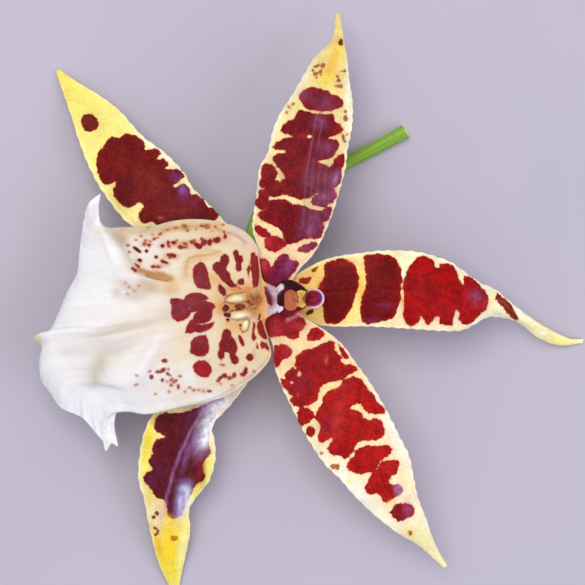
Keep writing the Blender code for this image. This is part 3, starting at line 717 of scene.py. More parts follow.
upperPetal = {
    "name": "upperPetal", "node": "petal_upper", "slot": "petal", "rim": "#a01418",
    "rimShare": 0.4,
    "outline": [
        (-2.2, 1.9, 2.0, 2.2), (-3.8, 5.2, 4.5, 6.1), (-4.0, 9.8, 6.7, 8.4),
        (-5.1, 13.9, 8.8, 11.8), (-4.9, 17.3, 10.8, 16.5), (-4.3, 21.4, 12.4, 21.6),
        (-3.7, 26.5, 13.7, 26.5), (-2.0, 29.8, 14.1, 30.2), (-1.0, 34.1, 14.9, 34.1),
        (0.6, 37.8, 15.2, 37.3), (2.7, 41.0, 15.1, 40.8), (5.1, 45.1, 14.5, 44.3),
        (7.3, 48.8, 14.1, 48.6), (10.0, 51.4, 13.6, 51.2), (11.4, 53.8, 13.2, 54.0),
        (11.8, 58.0, 12.5, 58.0),
    ],
    "stations": [
        (0.0, 17.2, 0.0, 0.0), (0.15, 17.7, -0.3, -0.3), (0.35, 18.7, -0.6, -0.9),
        (0.55, 18.4, -0.9, -1.3), (0.75, 15.2, -1.0, -1.3), (0.9, 10.4, -0.5, -0.6),
        (1.0, 6.0, 0.0, 0.0),
    ],
    "keel": 2.0, "waves": (0.35, 5.0, 0.0), "crisp": (0.15, 10.0), "touches": False,
    "grooved": 1.0,
    "ground": [
        (0.0, "#e9cda4"), (0.3, "#f0dba6"), (0.6, "#eddd9c"), (0.8, "#ecd788"), (1.0, "#f2e28c"),
    ],
    "stainsAndPaintedLight": [
        ("#eebe48", 0.9, [(334, 60, 5, 18, 20), (330, 70, 6, 10)]),
        ("#f2da4e", 0.85, [(326, 80, 8, 7), (341, 52, 3, 8)]),
        ("#f3f1dc", 0.85, [(348, 100, 4, 44), (296, 88, 6, 30, 36), (272, 130, 6, 20, 24)]),
        ("#eedaa0", 0.6, [(320, 110, 24, 4), (300, 204, 40, 5)]),
    ],
    "spots": [
        ("#82222e", [[
            (300, 96), (303, 92), (307, 89), (313, 88), (320, 89), (327, 91), (331, 95),
            (336, 96), (341, 99), (343.5, 103), (342, 107), (337, 109), (330, 111), (322, 111),
            (315, 111), (309, 110), (304, 107), (301, 101),
        ]]),
        ("#720e12", [[
            (281, 130), (284, 125), (289, 121), (296, 119), (296, 114), (301, 110.5), (307, 112),
            (313, 114), (320, 114.5), (327, 115), (334, 115), (334, 121), (340, 125), (343, 130),
            (338, 134), (331, 137), (326, 138), (331, 139.5), (336, 140), (339, 144), (337, 150),
            (333, 156), (327, 159), (318, 160), (316, 161), (321, 164), (325, 165), (330, 168),
            (333, 165), (334, 160), (338, 156), (343, 154), (344, 160), (341, 170), (342, 177),
            (340, 184), (335, 187), (330, 187), (334, 190), (336, 196), (333, 203), (329, 204),
            (326, 207), (320, 207), (314, 205), (311, 202), (313, 198), (318, 194), (316, 193),
            (308, 198), (300, 199), (292, 197), (285, 195), (281, 195.5), (273, 197), (269, 196),
            (269, 200), (268, 206), (264, 209), (258, 208), (255, 203), (256, 200), (259, 198),
            (259, 191), (265, 190), (265, 188), (261, 187), (260, 183), (262, 176), (262, 170),
            (261, 166), (265, 164), (272, 165), (277, 171), (279, 174), (275, 178), (274, 180),
            (281, 182), (286, 177), (281, 170), (276, 165), (272, 160), (273, 157), (278, 154),
            (285, 153), (290, 151.5), (284, 150), (276, 150), (273, 147), (277, 142), (283, 139),
            (292, 138), (297, 136.5), (290, 135.5), (284, 134),
        ]]),
        ("#760e10", [[
            (266, 204), (271, 200), (279, 200), (284, 199.5), (288, 202), (292, 204), (300, 205),
            (306, 207), (311, 210), (319, 211), (326, 209), (331, 207), (331, 212), (329, 219),
            (326, 222), (321, 223), (324, 228), (323, 233), (320, 238), (314, 239), (310, 237),
            (303, 240), (297, 242), (291, 244), (287, 243), (284, 238), (281, 231), (278, 227),
            (272, 224.5), (265, 222), (260, 219), (258, 215), (261, 212), (266, 210),
        ]]),
        ("#981412", [[
            (255, 224), (260, 226), (266, 229), (270, 234), (268, 238), (262, 237), (258, 234),
            (255, 229),
        ]]),
        ("#a81422", [[
            (265, 240), (271, 236), (277, 236.5), (282, 239), (286, 244), (285, 247), (280, 250),
            (275, 252), (269, 251), (265, 247),
        ]]),
        ("#8c3c58", [[
            (297, 251), (300, 247), (306, 244), (313, 242.5), (318, 243), (314, 249), (309, 252),
            (302, 252),
        ]]),
        ("#7e1c44", [[
            (287, 253.5), (290, 260), (296, 261), (299, 263), (296, 270), (290, 277), (284, 283),
            (278, 287), (270, 287), (264, 284), (267, 276), (272, 267), (277, 259), (282, 255),
        ]]),
        ("#a01c28", [[
            (260, 259), (266, 259), (270, 264), (272, 270), (268, 280), (262, 286), (258, 276),
            (258, 266),
        ]]),
        ("#6a3a08", [(340.5, 42.5, 1.9, 3)]),
        ("#a8764a", [
            (316, 67, 1.8, 1.2), (323, 66, 2.2, 1.8), (319, 65, 1.3, 1.2), (313, 71, 1.4, 1.2),
            (315.5, 74, 2.2, 1.7), (317, 78, 1.2, 1.2), (320, 72, 1.2, 1.2), (321, 76, 1, 1),
            (341, 72, 1.4, 1.2), (344, 71.5, 1.4, 1.2), (337, 77, 1, 1.2), (338, 81, 1.2, 1.2),
            (336.5, 86, 1.6, 1.2), (340, 86.5, 1.8, 1.2), (345, 112, 1, 1), (345, 117, 1.4, 1.8),
            (346, 120, 1.2, 1.2), (343, 137, 1.2, 1.6), (347, 135, 1.2, 1.2), (345, 141, 1.4, 1),
            (289, 107.5, 1.2, 1.6), (287, 112, 0.9, 0.9), (294, 104, 0.9, 0.9),
        ]),
    ],
    "cracks": [(1.0, [(301, 198.5), (309, 199)])], "notches": [(309.5, 136.5, 2.6, 1.7)],
    "paintedSheenAndTints": [
        # mauve and lilac painted sheen over the spots' right half, down to the red tints
        ("#8c4668", 0.75, [(325, 103, 9, 7), (305, 96, 6, 5), (320, 122, 8, 9), (325, 148, 10, 8)]),
        ("#8a4a62", 0.75, [(310, 178, 9, 16), (318, 196, 8, 10), (328, 180, 12, 16)]),
        ("#a0668c", 0.6, [(325, 198, 7, 7), (312, 226, 5, 14, 14)]),
        ("#7e3e62", 0.7, [(303, 222, 5, 18, 14), (318, 224, 9, 12), (326, 214, 5, 6)]),
        ("#b07cae", 0.7, [(336, 178, 3, 7, 20)]), ("#a84c70", 0.6, [(333, 195, 4, 7)]),
        ("#a02224", 0.6, [(340, 103, 3, 4), (337, 130, 5, 6), (303, 136, 5, 4), (339, 160, 4, 6)]),
        ("#941818", 0.7, [
            (267, 175, 6, 10), (262, 195, 4, 14), (280, 188, 12, 6), (290, 172, 12, 8),
        ]),
        ("#d84858", 0.9, [(264, 265, 2.6, 6)]), ("#c83444", 0.6, [(268, 243, 4, 4)]),
        ("#a04c7c", 0.7, [(289, 266, 5, 9, 25)]),
        # streaks of painted sheen along the veins
        ("#a86480", 0.45, [
            (0.9, [(317, 116), (312, 140), (308, 165), (305, 190), (303, 226)]),
            (0.7, [(314, 158), (312, 176), (311, 196)]),
            (0.7, [(322, 122), (319, 140), (317, 152)]),
            (0.7, [(320, 166), (318, 180), (317, 190)]),
            (0.7, [(326, 168), (325, 184), (324, 198)]),
            (0.7, [(311, 210), (309, 222), (307, 234)]), (0.7, [(331, 172), (330, 184)]),
        ]),
    ],
}
lowerPetal = {
    "name": "lowerPetal", "node": "petal_lower", "slot": "petal", "rim": "#b81c14",
    "rimShare": 0.5,
    "outline": [
        (2.4, -1.6, -0.8, -2.3), (6.1, -4.5, -2.7, -5.1), (10.2, -7.1, -1.0, -9.8),
        (13.3, -9.8, -0.6, -14.1), (15.7, -13.1, 0.8, -18.0), (18.2, -16.5, 2.7, -22.0),
        (20.8, -20.6, 4.9, -26.5), (23.1, -24.9, 7.3, -30.6), (24.9, -28.6, 9.8, -34.1),
        (26.7, -32.2, 12.9, -37.1), (27.6, -36.5, 15.7, -40.4), (28.6, -41.0, 19.8, -44.3),
        (30.2, -45.1, 24.3, -47.8), (31.2, -48.2, 28.4, -50.2), (33.0, -52.2, 31.4, -52.7),
        (34.5, -54.6, 33.9, -55.0),
    ],
    "stations": [
        (0.0, 17.2, 0.0, 0.0), (0.15, 17.8, -0.4, -0.3), (0.35, 18.9, -1.0, -0.7),
        (0.55, 18.4, -1.3, -0.8), (0.75, 15.0, -1.1, -0.8), (0.9, 10.0, -0.5, -0.4),
        (1.0, 6.5, 0.0, 0.0),
    ],
    "keel": 2.0, "waves": (0.45, 6.0, 1.0), "crisp": (0.17, 10.0), "touches": False,
    "grooved": 1.0,
    "ground": [
        (0.0, "#eed3a6"), (0.3, "#f3daa8"), (0.7, "#f6e7bc"), (0.88, "#f9f3d0"), (1.0, "#fbf4ac"),
    ],
    "stainsAndPaintedLight": [
        ("#fbf4a8", 0.7, [(420, 538, 12, 16, -30)]), ("#f0c850", 0.5, [(410, 532, 5, 7, -30)]),
        ("#f4d890", 0.5, [(340, 395, 24, 44, -30)]),
        ("#fdfbee", 0.9, [(398, 430, 12, 50, -26), (350, 486, 12, 50, -38)]),
    ],
    # bright red spots: the petal's own red, lifted by painted light shining through it
    "spots": [
        ("#a41c22", [[
            (265, 316), (264, 326), (267, 334), (270, 337), (277, 336.5), (283, 335.5),
            (289, 338), (294, 340.5), (298, 338), (299, 332), (303, 329), (306, 325), (305, 320),
            (301, 317), (290, 313), (275, 310), (268, 313),
        ]]),
        ("#a01410", [
            [(313, 328), (317, 327), (322, 330), (325, 334), (320, 339), (313, 341), (308, 340),
             (307, 336), (310, 332)],
            [(338, 344), (342, 347), (347, 354), (349, 358), (346, 359), (342, 354), (339, 349)],
            (310.5, 431.5, 4.3, 5.2),
            [(300, 407), (306, 408), (311, 409), (314, 412), (313, 418), (309, 422), (304, 424),
             (300, 427), (298, 421), (297, 413)],
        ]),
        ("#b01218", [[
            (275, 346), (281, 344), (288, 346), (292, 351), (291, 355), (286, 358), (282, 361),
            (279, 367), (276, 367), (274, 360), (274, 352),
        ]]),
        ("#a2100c", [[
            (330, 340), (334, 343), (335, 348), (334, 351), (338, 354), (341, 358), (342, 363),
            (346, 366), (351, 364), (356, 367), (358, 370), (353, 372), (349, 375), (346, 377),
            (342, 379), (336, 381), (329, 382), (323, 384), (320, 388), (318, 394), (317, 400),
            (313, 403), (309, 405), (300, 406), (294, 405), (290, 401), (291, 398), (294, 396),
            (289, 394), (287, 391), (284, 387), (281, 383), (281, 379), (285, 379), (285, 375),
            (288, 371), (292, 368), (297, 370), (295, 364), (296, 358), (299, 354), (304, 351),
            (312, 349), (320, 346), (325, 343),
        ]]),
        ("#b6160e", [
            [(345, 379), (352, 377), (358, 378), (362, 381), (365, 386), (368, 391), (373, 394),
             (376, 400), (379, 404), (383, 407), (385, 411), (383, 414), (376, 414), (369, 413),
             (364, 409), (361, 404), (357, 403), (353, 405), (349, 408), (352, 410), (357, 410),
             (361, 413), (363, 418), (368, 420), (376, 419), (381, 422), (384, 428), (384, 434),
             (381, 438), (375, 439.5), (368, 440), (362, 440), (358, 442), (355, 446), (353, 451),
             (350, 456), (345, 459), (341, 456), (337, 454), (333, 455), (329, 452), (328, 448),
             (331, 443), (334, 439), (331, 437), (327, 440), (322, 443.5), (319, 441), (318, 436),
             (320, 431), (322, 427), (318, 421), (315, 417), (317, 412), (320, 407), (323, 403),
             (323, 397), (326, 393), (331, 390), (337, 388), (341, 385), (343, 382)],
            [(346, 467), (349, 461), (354, 456), (356, 451), (361, 448), (368, 445), (373, 446),
             (381, 446), (388, 446), (392, 449), (391, 454), (386, 457), (381, 460), (378, 463),
             (376, 468), (372, 471), (366, 472), (360, 474), (355, 473), (350, 470)],
            [(380, 462), (386, 461), (392, 460), (397, 460), (400, 464), (397, 468), (396, 473),
             (391, 475), (390, 480), (387, 482), (391, 484), (396, 486), (397, 494), (393, 499),
             (387, 502), (383, 501), (381, 495), (377, 493), (371, 494), (366, 492), (365, 487),
             (368, 482), (370, 476), (373, 471), (378, 469)],
        ]),
        # purple painted sheen on the right of the blotches near the tip
        ("#b0709c", [(397, 490, 5.5, 5.5)]),
        ("#90161a", [[
            (394, 506), (399, 503), (405, 503), (411, 505), (414, 510), (412, 515), (406, 519),
            (399, 520), (393, 517), (390, 512),
        ]]),
        ("#b8763a", [
            (333, 466, 3, 2.2), (337.5, 467, 1.8, 2.6), (322, 453, 1.6, 1.4),
            (410, 532, 1.5, 1.8),
        ]),
    ],
    "cracks": [(1.2, [(352, 455), (358, 447), (366, 443), (375, 441)])],
    "notches": [(299.5, 374, 2.2, 3.4), (291.5, 383, 2.6, 1.9, -20)],
    "paintedSheenAndTints": [
        # a line of painted highlight, the lit rim along the column's underside, and its pale start
        # on the next line
        ("#ff8c96", 1.0, [
            (1.8, [(287, 320.6), (291, 318), (298, 315.6), (305, 313), (310, 310)]),
        ]),
        ("#ffb8b4", 0.6, [(289, 319, 2.4, 1.6)]), ("#d02c34", 0.6, [(294, 325, 5, 3.4)]),
        ("#e46a4c", 0.8, [(326.5, 360, 1.6, 4, 15)]),
        ("#e8686c", 0.8, [(298, 395, 1.5, 2.2, 20)]),
        ("#c83c40", 0.5, [(275, 330, 8, 9), (300, 326, 7, 5), (338, 418, 5, 26, 10)]),
        ("#8c1830", 0.6, [(300, 384, 9, 14, 20), (326, 424, 7, 12)]),
        # purple painted sheen near the tip
        ("#b04878", 0.85, [(408, 509, 5, 7)]),
        ("#ffdf78", 0.8, [(391, 502, 4, 2, -15), (349, 481, 4, 4)]),
        ("#c2404a", 0.5, [(288, 350, 4, 5)]),
    ],
}

dressBlade(dorsalSepal, sepalSkin)
dressBlade(upperLateralSepal, sepalSkin)
dressBlade(lowerLateralSepal, sepalSkin)
dressBlade(upperPetal, petalSkin)
dressBlade(lowerPetal, petalSkin)


# lip

lip = {
    "rows": 240, "columns": 190, "half": 0.26, "marginHalf": 0.14, "rim": "#981420",
    "rimShare": 0.4,
    "upperSide": [
        (-0.9, 2.3), (-3.1, 3.6), (-3.8, 7.0), (-4.4, 10.6), (-7.1, 13.7), (-11.6, 15.4),
        (-16.9, 16.0), (-21.6, 15.6), (-25.9, 14.5), (-30.6, 14.4), (-34.7, 14.3), (-36.3, 15.5),
        (-36.7, 18.4), (-36.3, 21.2),
    ],
    "lowerSide": [
        (-0.5, -2.9), (-2.7, -4.6), (-2.0, -8.6), (-1.6, -12.0), (-4.1, -15.3), (-7.8, -18.2),
        (-11.4, -20.2), (-16.1, -21.4), (-21.0, -22.4), (-25.3, -22.9), (-29.0, -22.0),
        (-32.4, -22.4), (-33.5, -25.7), (-32.7, -30.2),
    ],
    "front": [
        (-36.3, 21.2), (-38.6, 19.2), (-39.6, 15.5), (-40.2, 10.6), (-40.8, 5.3), (-42.9, 1.2),
        (-44.7, -3.1), (-46.5, -6.6), (-49.6, -8.0), (-48.1, -9.8), (-48.6, -12.9),
        (-48.2, -16.7), (-46.3, -19.4), (-44.1, -22.4), (-40.0, -24.3), (-37.3, -27.3),
        (-35.7, -29.2), (-35.1, -31.2), (-34.1, -29.6), (-32.7, -30.2),
    ],
    "middle": [
        (0.0, 18.7), (0.12, 20.0), (0.3, 22.0), (0.45, 23.0), (0.6, 22.4), (0.8, 18.8),
        (1.0, 12.4),
    ],
    "roll": [
        (0.0, 0.2), (0.12, 0.9), (0.3, 4.0), (0.5, 6.0), (0.7, 6.0), (0.86, 4.0), (1.0, -0.5),
    ],
    "crestLine": [(-1.0, 0.89), (-0.5, 0.74), (0.0, 0.54), (0.5, 0.68), (1.0, 0.86)],
    "crestRowShare": 0.6,
    "pleats": [(3.8, (4.2, 3.1), -1), (2.6, (0.5, -0.4), 1)],  # height, lean, side
    "pleatWidth": 0.08, "pleatDip": 1.5, "callusRidges": (-0.35, -3.55), "callusX": (-9.6, -3.6),
    "callusHeight": 1.1, "callusWidth": 0.75, "callusSlopes": (1.6, 2.4),
    "clawReach": 0.9,  # the narrow base runs on under the column
    "ruffles": (7.5, 0.32, 0.18),  # count, height, height of the finer ones
    "sideRuffles": (11, 0.22, 0.12), "veins": 21, "veinRise": 0.035, "veinKeel": 0.05,
    "spotRise": 0.05,
    # where the hairs stand, in the photo's pixels
    "hairPatch": (240, 303, 22, 17), "hairFade": 6,
    # swellings and hollows by where they show: height, then the ellipse
    "relief": [
        (0.45, 238, 298, 8, 2.6, 4), (0.45, 242, 316, 9, 2.6, -8), (-0.7, 240, 307.5, 6, 3.2),
        (-0.9, 258, 303, 7, 8), (0.5, 231, 284, 2.2, 7, -30), (0.45, 221, 290, 6, 1.8, 20),
        (0.5, 245, 326, 1.8, 6, 10), (0.35, 228, 321, 5, 1.8, -15),
        (-0.35, 196, 259, 22, 2.2, -8), (0.3, 196, 254, 20, 2.4, -8),
        (-0.4, 185, 226, 24, 2.6, -6), (0.3, 188, 231, 24, 2.6, -6),
        (-0.3, 215, 250, 20, 2.2, 18), (0.35, 150, 276, 20, 3.2, 6), (1.0, 146, 362, 30, 7, -60),
        (-0.9, 112, 352, 26, 9, -40), (0.6, 95, 322, 38, 9, -14), (-0.6, 104, 336, 46, 3.4, -12),
        (0.3, 84, 392, 26, 9, 50), (-0.3, 72, 370, 20, 7, 60), (0.5, 108, 246, 4, 20, -22),
        (-0.7, 121, 246, 6, 20, -26),
    ],
    "ground": [
        (0.0, "#dfb876"), (0.1, "#e2c794"), (0.25, "#e2cda6"), (0.45, "#e4d5b6"),
        (0.58, "#ebe4d6"), (0.72, "#f0efec"), (1.0, "#f2f2f3"),
    ],
    "stainsAndPaintedLight": [
        # tan painted shade in the hollow behind the upper fold's crest and on the dome's upper
        # side, this line and the next
        ("#bfa67c", 0.95, [(122, 238, 8, 15, -28), (134, 260, 9, 13, -35)]),
        ("#d0bc98", 0.9, [(134, 231, 24, 6)]),
        ("#d8c098", 0.65, [(158, 233, 34, 8), (205, 232, 26, 8, 14)]),
        ("#ebe6dc", 0.85, [(145, 257, 12, 9), (132, 258, 7, 9), (152, 250, 8, 8)]),
        ("#d49268", 0.6, [
            (4.5, [(163, 246), (175, 245), (186, 245.5), (199, 245), (215, 241), (226, 237)]),
            (3.5, [(166, 256), (177, 257)]), (3.5, [(155, 267), (168, 264)]),
            (3, [(143, 244), (151, 244)]),
        ]),
        # whiter: pale tissue, and painted light where the dome's lower flank faces the light
        ("#f3f3f1", 0.9, [(158, 384, 34, 16), (205, 396, 24, 9), (186, 376, 12, 12)]),
        ("#e4e4cc", 0.5, [(182, 366, 8, 12)]),
        ("#b9874a", 0.9, [(154, 276, 17, 3.6, 14), (163, 275, 10, 3, 20), (140, 271, 8, 2.2, 20)]),
        ("#cdb08a", 0.8, [(148, 288, 18, 8), (170, 290, 10, 7)]),
        ("#e0b878", 0.7, [(172, 286, 10, 8, 40), (185, 268, 4, 14, 10), (202, 254, 16, 2.2, -12)]),
        ("#d9bd82", 0.7, [(188, 226, 42, 6)]),
        ("#c89a58", 0.75, [(184, 227.5, 6, 3.4), (174, 229, 4, 2.6), (164, 231, 5, 2.2, -25)]),
        ("#c08a50", 0.7, [(202, 226, 4, 2.2), (209, 226, 3, 2.2), (219, 230, 5, 2.6, 25)]),
        ("#cbbfb0", 0.7, [(126, 286, 14, 6, 30), (134, 297, 14, 6), (118, 293, 6, 6)]),
        ("#cfc0a4", 0.6, [(146, 284, 12, 5, 10)]),
        # painted shade below the midrib crease
        ("#d3c7b2", 0.85, [(130, 326, 50, 6, -12), (170, 315, 22, 9, -20)]),
        # painted shade left of the lower ridge, this line and the next
        ("#cfc8b8", 0.85, [(98, 366, 12, 24, 20), (108, 350, 18, 9, -14)]),
        ("#c2b08e", 0.4, [(102, 360, 6, 12, 15), (96, 378, 4, 6)]),
        # painted highlight along the lower ridge
        ("#f0edea", 0.8, [(145, 360, 34, 7, -58), (150, 343, 26, 6, -30)]),
        # more painted shade along the midrib crease and beside it
        ("#d6d0cc", 0.7, [(108, 345, 46, 9, -8), (78, 350, 20, 9), (200, 345, 8, 18)]),
        ("#e6d6b8", 0.6, [(205, 392, 30, 5, -8), (170, 387, 24, 7), (232, 390, 14, 9, -30)]),
        ("#d8b06c", 0.9, [(226, 300, 19, 18), (214, 280, 12, 9, 25), (236, 325, 14, 10)]),
        ("#cf8838", 0.9, [
            (236, 289.5, 9, 4, 10), (222, 308, 6, 7), (247, 289, 7, 5), (231, 308, 3, 8),
        ]),
        # dark brown lines at the callus ridges' feet: brown tissue, deepened with painted shade in
        # the creases
        ("#7c3c10", 0.95, [
            (1.2, [(224.5, 303), (225.5, 298.5), (229, 295.5)]),
            (1.1, [(225, 301), (229, 303), (238, 302.6), (247, 300)]),
            (1.1, [(229, 311.5), (237, 311), (244, 309.5), (249, 307)]),
            (0.9, [(226, 296.5), (231, 295), (238, 294), (244, 292.5)]),
            (0.9, [(243.5, 319), (247.5, 317.5), (249, 322), (247, 330), (242.5, 332), (240, 328)]),
            (0.9, [(231, 318.5), (238, 319), (246, 316)]),
        ]),
        # the pale yellow ridge tops, whitened with a painted highlight
        ("#fdf6cc", 1.0, [
            (236, 298.5, 8, 2.4, -10), (240, 315, 9, 2.8, -12), (245.5, 324, 1.8, 5, 10),
        ]),
        ("#c08440", 0.85, [
            (3.0, [(138, 270.5), (150, 274), (162, 276.5), (171, 279)]),
            (1.2, [
                (186, 276), (186.5, 266), (189, 258.5), (196, 256), (206, 255.4), (213, 254),
                (220, 251.5),
            ]),
        ]),
        ("#a06c34", 0.8, [(1.2, [(146, 276), (156, 279), (168, 281)])]),
        ("#b48a7c", 0.7, [(1.7, [(228, 233), (234, 234.5), (240, 238), (245.5, 243.5)])]),
        ("#c89858", 0.6, [(254, 353, 1.6, 6), (158, 267.4, 5, 1.6), (183, 245, 5, 3)]),
        ("#d89a50", 0.8, [(184.5, 228, 4.4, 3.2), (206, 227.4, 4, 2.6)]),
        ("#dfc08c", 0.8, [(3.2, [(188, 278), (189, 267), (194, 260), (206, 258), (220, 255)])]),
        ("#b0601c", 1.0, [(256, 301, 8, 11), (250, 298, 6, 7), (253, 309, 7, 3, -20)]),
        ("#9c4810", 0.7, [(252, 300, 3, 4), (258, 298, 5, 5)]),
        ("#d8953c", 0.8, [(246, 302, 3, 2.4), (262, 290, 3, 5), (253, 314, 5, 2.4)]),
        ("#e8a050", 0.8, [(262, 318, 3, 14, -12), (260, 268, 2, 20)]),
        ("#f0e060", 0.7, [(38, 337, 4, 4)]), ("#e8e6b0", 0.6, [(112, 446, 6, 6)]),
        ("#d8c4c8", 0.35, [(4, [(232, 230), (246, 238), (256, 250), (260, 262)])]),
        ("#e4cfd0", 0.5, [(4, [(262, 372), (250, 385), (230, 393)])]),
        ("#dcc8a8", 0.5, [(196, 275, 3, 14, 60), (250, 375, 10, 5, -20)]),
    ],
    "spots": [
        ("#82141a", [
            [(200, 262), (204, 264), (207, 269), (208.5, 276), (210, 283), (211, 289), (208, 290),
             (203, 289), (198, 288), (195, 284), (193, 277), (193, 270), (195, 266)],
            [(171, 299), (176, 299), (184, 299.5), (187, 295.5), (192, 293), (200, 293),
             (206, 295.5), (209, 299), (204, 300.3), (209, 302), (214, 304), (215, 307),
             (212, 310), (212, 316), (210, 320.5), (204, 323), (197, 323), (192, 321.5),
             (194, 315), (197, 311.5), (191.5, 312), (188, 317), (183, 320.5), (177, 321.5),
             (172.5, 318), (171, 312), (172, 306), (170, 302)],
            [(191, 320), (195, 323.5), (201, 325), (208, 324), (214, 321.5), (213, 326),
             (208, 330), (201, 332.5), (195, 331.5), (190, 333.5), (185.5, 332.5), (187, 326)],
            [(199, 335.5), (206, 335), (208, 340), (209, 347), (208, 353), (204, 356), (198, 356),
             (193, 354), (190, 352), (191, 346), (191, 342), (194, 338)],
        ]),
        ("#a41a1c", [[
            (199, 360), (205, 360.5), (209, 363), (211, 367), (211.5, 371), (208, 376),
            (203, 377), (198, 375), (195, 371), (193, 367), (195, 362.5),
        ]]),
        ("#7c1008", [
            [(225, 254.5), (228, 257), (229, 262), (227, 266), (225.5, 270), (228, 272),
             (230, 275), (230, 280), (233, 284), (236, 287), (232, 287), (227, 284), (222, 281),
             (219, 276), (216, 274), (213, 270), (213, 265), (216, 262), (220, 262.5), (221, 257)],
            [(235, 250), (238, 251), (239, 256), (242, 256), (243, 261), (241, 264), (241, 270),
             (238, 271.5), (235.5, 269), (236, 263), (234, 258), (233, 253)],
            [(227, 329), (230, 331), (231, 336), (233, 338), (236, 342), (237.5, 348), (236, 352),
             (235, 354), (238, 358), (238, 362), (235, 364.5), (231, 362), (230, 357), (230, 353),
             (226, 351), (224, 352), (223.5, 357), (221, 360), (218, 357), (217.5, 353),
             (219, 348), (219, 344), (221, 340), (222, 334), (224, 330)],
            [(238.5, 335), (241, 336), (243.5, 341), (244, 345), (242, 346), (239.5, 342),
             (238, 338)],
            (249.5, 357, 3.4, 3.6),
            [(245, 366), (247, 368), (247, 373), (244, 376), (240.5, 375), (243, 371)],
        ]),
        ("#6c1a10", [
            [(219, 283), (222, 286), (225, 290), (226, 294), (224, 296), (220, 292), (218, 288)],
            [(238, 280), (243, 278), (244, 284), (240, 285), (237, 283)],
        ]),
        ("#8c2016", [
            [(251, 254), (254, 252), (255, 256), (257, 256), (258, 262), (258, 275), (257, 286),
             (253, 288), (252, 280), (251, 270), (250.5, 262)],
            [(249, 264), (250, 268), (249, 273), (248.5, 279), (247.5, 276), (247, 270)],
            [(259, 320), (261, 321), (263, 328), (265, 334), (268, 340), (264, 339), (261, 337),
             (258, 334), (257, 329), (256, 325)],
            [(261, 341), (265, 343), (269, 349), (268, 351), (264, 347), (262, 349), (260, 345)],
            [(253, 322), (255, 326), (254, 332), (256, 338), (253, 341), (251.5, 338), (252, 332),
             (252.5, 328)],
            [(256, 342), (258, 345), (258, 349), (256, 347)],
            [(258, 315), (260, 314), (259, 319), (256.5, 320)],
        ]),
        ("#90302a", [
            (224.6, 375, 2.2, 2.1, -35), (234, 374.8, 1.8, 2.6, 20), (220, 377.6, 2.2, 1.5, -42),
        ]),
        ("#a8564a", [
            (218, 380.4, 1.7, 1.5, -40), (229.3, 377.6, 2.2, 1.8), (241.5, 374.4, 1.5, 1.2),
        ]),
        ("#541008", [(225.5, 308, 3.4, 3.6), (227.5, 315, 4, 2.2, 10), (227.5, 320, 1.5, 1.2)]),
        ("#8a3206", [[
            (234, 304), (239, 303), (245, 304), (245, 308), (242, 311), (237, 312), (235, 309),
        ]]),
        ("#84401a", [
            (0.5, [(236, 285), (240, 288.5), (244, 292.5)]), (240.5, 325.5, 1.4, 1.6),
            (248, 301, 2.2, 1.4, 30), (251, 304, 2, 1.4),
        ]),
        ("#30040e", [[
            (264, 287), (266.5, 287), (269, 291.5), (272, 296), (273.2, 300), (273, 305),
            (270.5, 306.5), (268, 303), (266.5, 297), (264.5, 292),
        ]]),
        ("#efe6f4", [[
            (267, 285), (275, 286), (280, 288), (280, 293), (277, 297), (277, 304), (280, 307),
            (280, 312.5), (271, 314), (266.5, 312), (267.5, 308), (271, 307), (273.6, 304.5),
            (273.6, 298), (271.5, 294), (268, 290),
        ]]),
        ("#841c0c", [
            (198, 246, 4.3, 2.8, 30), (203.8, 243.2, 2.6, 3, 40), (209.8, 242.6, 2.4, 3.2, 10),
            (217, 240.6, 3.6, 3.1, -10), (225.2, 236.6, 1.5, 2.6, 10), (174.2, 243.2, 2.2, 2),
            (173.4, 256, 3.2, 2, 15), (166, 262.8, 2.8, 1.4, 25),
        ]),
        ("#8a341c", [
            (168.4, 242.8, 1.5, 1.9), (180.8, 247.6, 2.6, 1.8, 10), (191.4, 242.4, 1.8, 1.4, 15),
            (169.6, 255.4, 2.6, 1.5, 10), (162.6, 261.4, 1.6, 1.6), (153.6, 267, 2, 1.4, -10),
            (170.5, 258.4, 1.2, 0.9), (149.2, 245.6, 1.5, 1.6), (154.5, 239.4, 1.3, 1.4),
        ]),
        ("#a8502e", [
            (185.4, 244.4, 2.2, 1.3), (169.6, 246.8, 1.3, 1), (186, 247.8, 2, 1.1),
            (202, 239.4, 1.4, 1.2), (158.6, 267, 2.4, 1.1), (144.8, 244.6, 1, 1.8),
            (224, 232.4, 1, 1), (177, 241, 1.2, 0.9), (194.5, 240.8, 1.3, 1),
            (201.6, 226.6, 1.5, 1.2),
        ]),
        ("#521414", [
            (162.7, 246.2, 1.9, 1.7), (157, 257.4, 1.9, 1.7), (140.2, 261, 2.2, 1.8, 10),
            (1.9, [(134, 248), (137, 249.4)]), (1.9, [(138, 250.6), (140.6, 252.6)]),
            (1.3, [(136.6, 249.6), (139, 251.4)]), (146.9, 251.2, 1.5, 1.6),
        ]),
        ("#6a3418", [
            (1.6, [(135, 264.8), (138.6, 267.6)]), (1.6, [(131.6, 268.8), (135.6, 271.8)]),
        ]),
        ("#80706a", [(127.9, 245.6, 1.5, 1.3), (129, 252.6, 1.6, 0.8), (141.6, 236.6, 1.2, 0.8)]),
        ("#b4824a", [
            (207, 227, 2.4, 2.2, 20), (184.4, 226.6, 2.6, 2.2), (176, 228.4, 2, 1),
            (188, 231, 1.2, 1), (222.6, 225.2, 1.4, 0.9), (215.4, 227.2, 1.2, 1),
            (160.6, 234.4, 2.2, 1, -20), (168.4, 230.4, 1.8, 1, -20), (152.8, 235, 1, 1.2),
            (150.6, 241.6, 1.4, 0.9, 40), (157.8, 238.2, 1.2, 0.8), (146, 240.6, 1.3, 0.8),
            (1, [(148, 228), (153, 224)]), (196, 229.6, 1, 0.8), (212, 231.4, 1, 0.8),
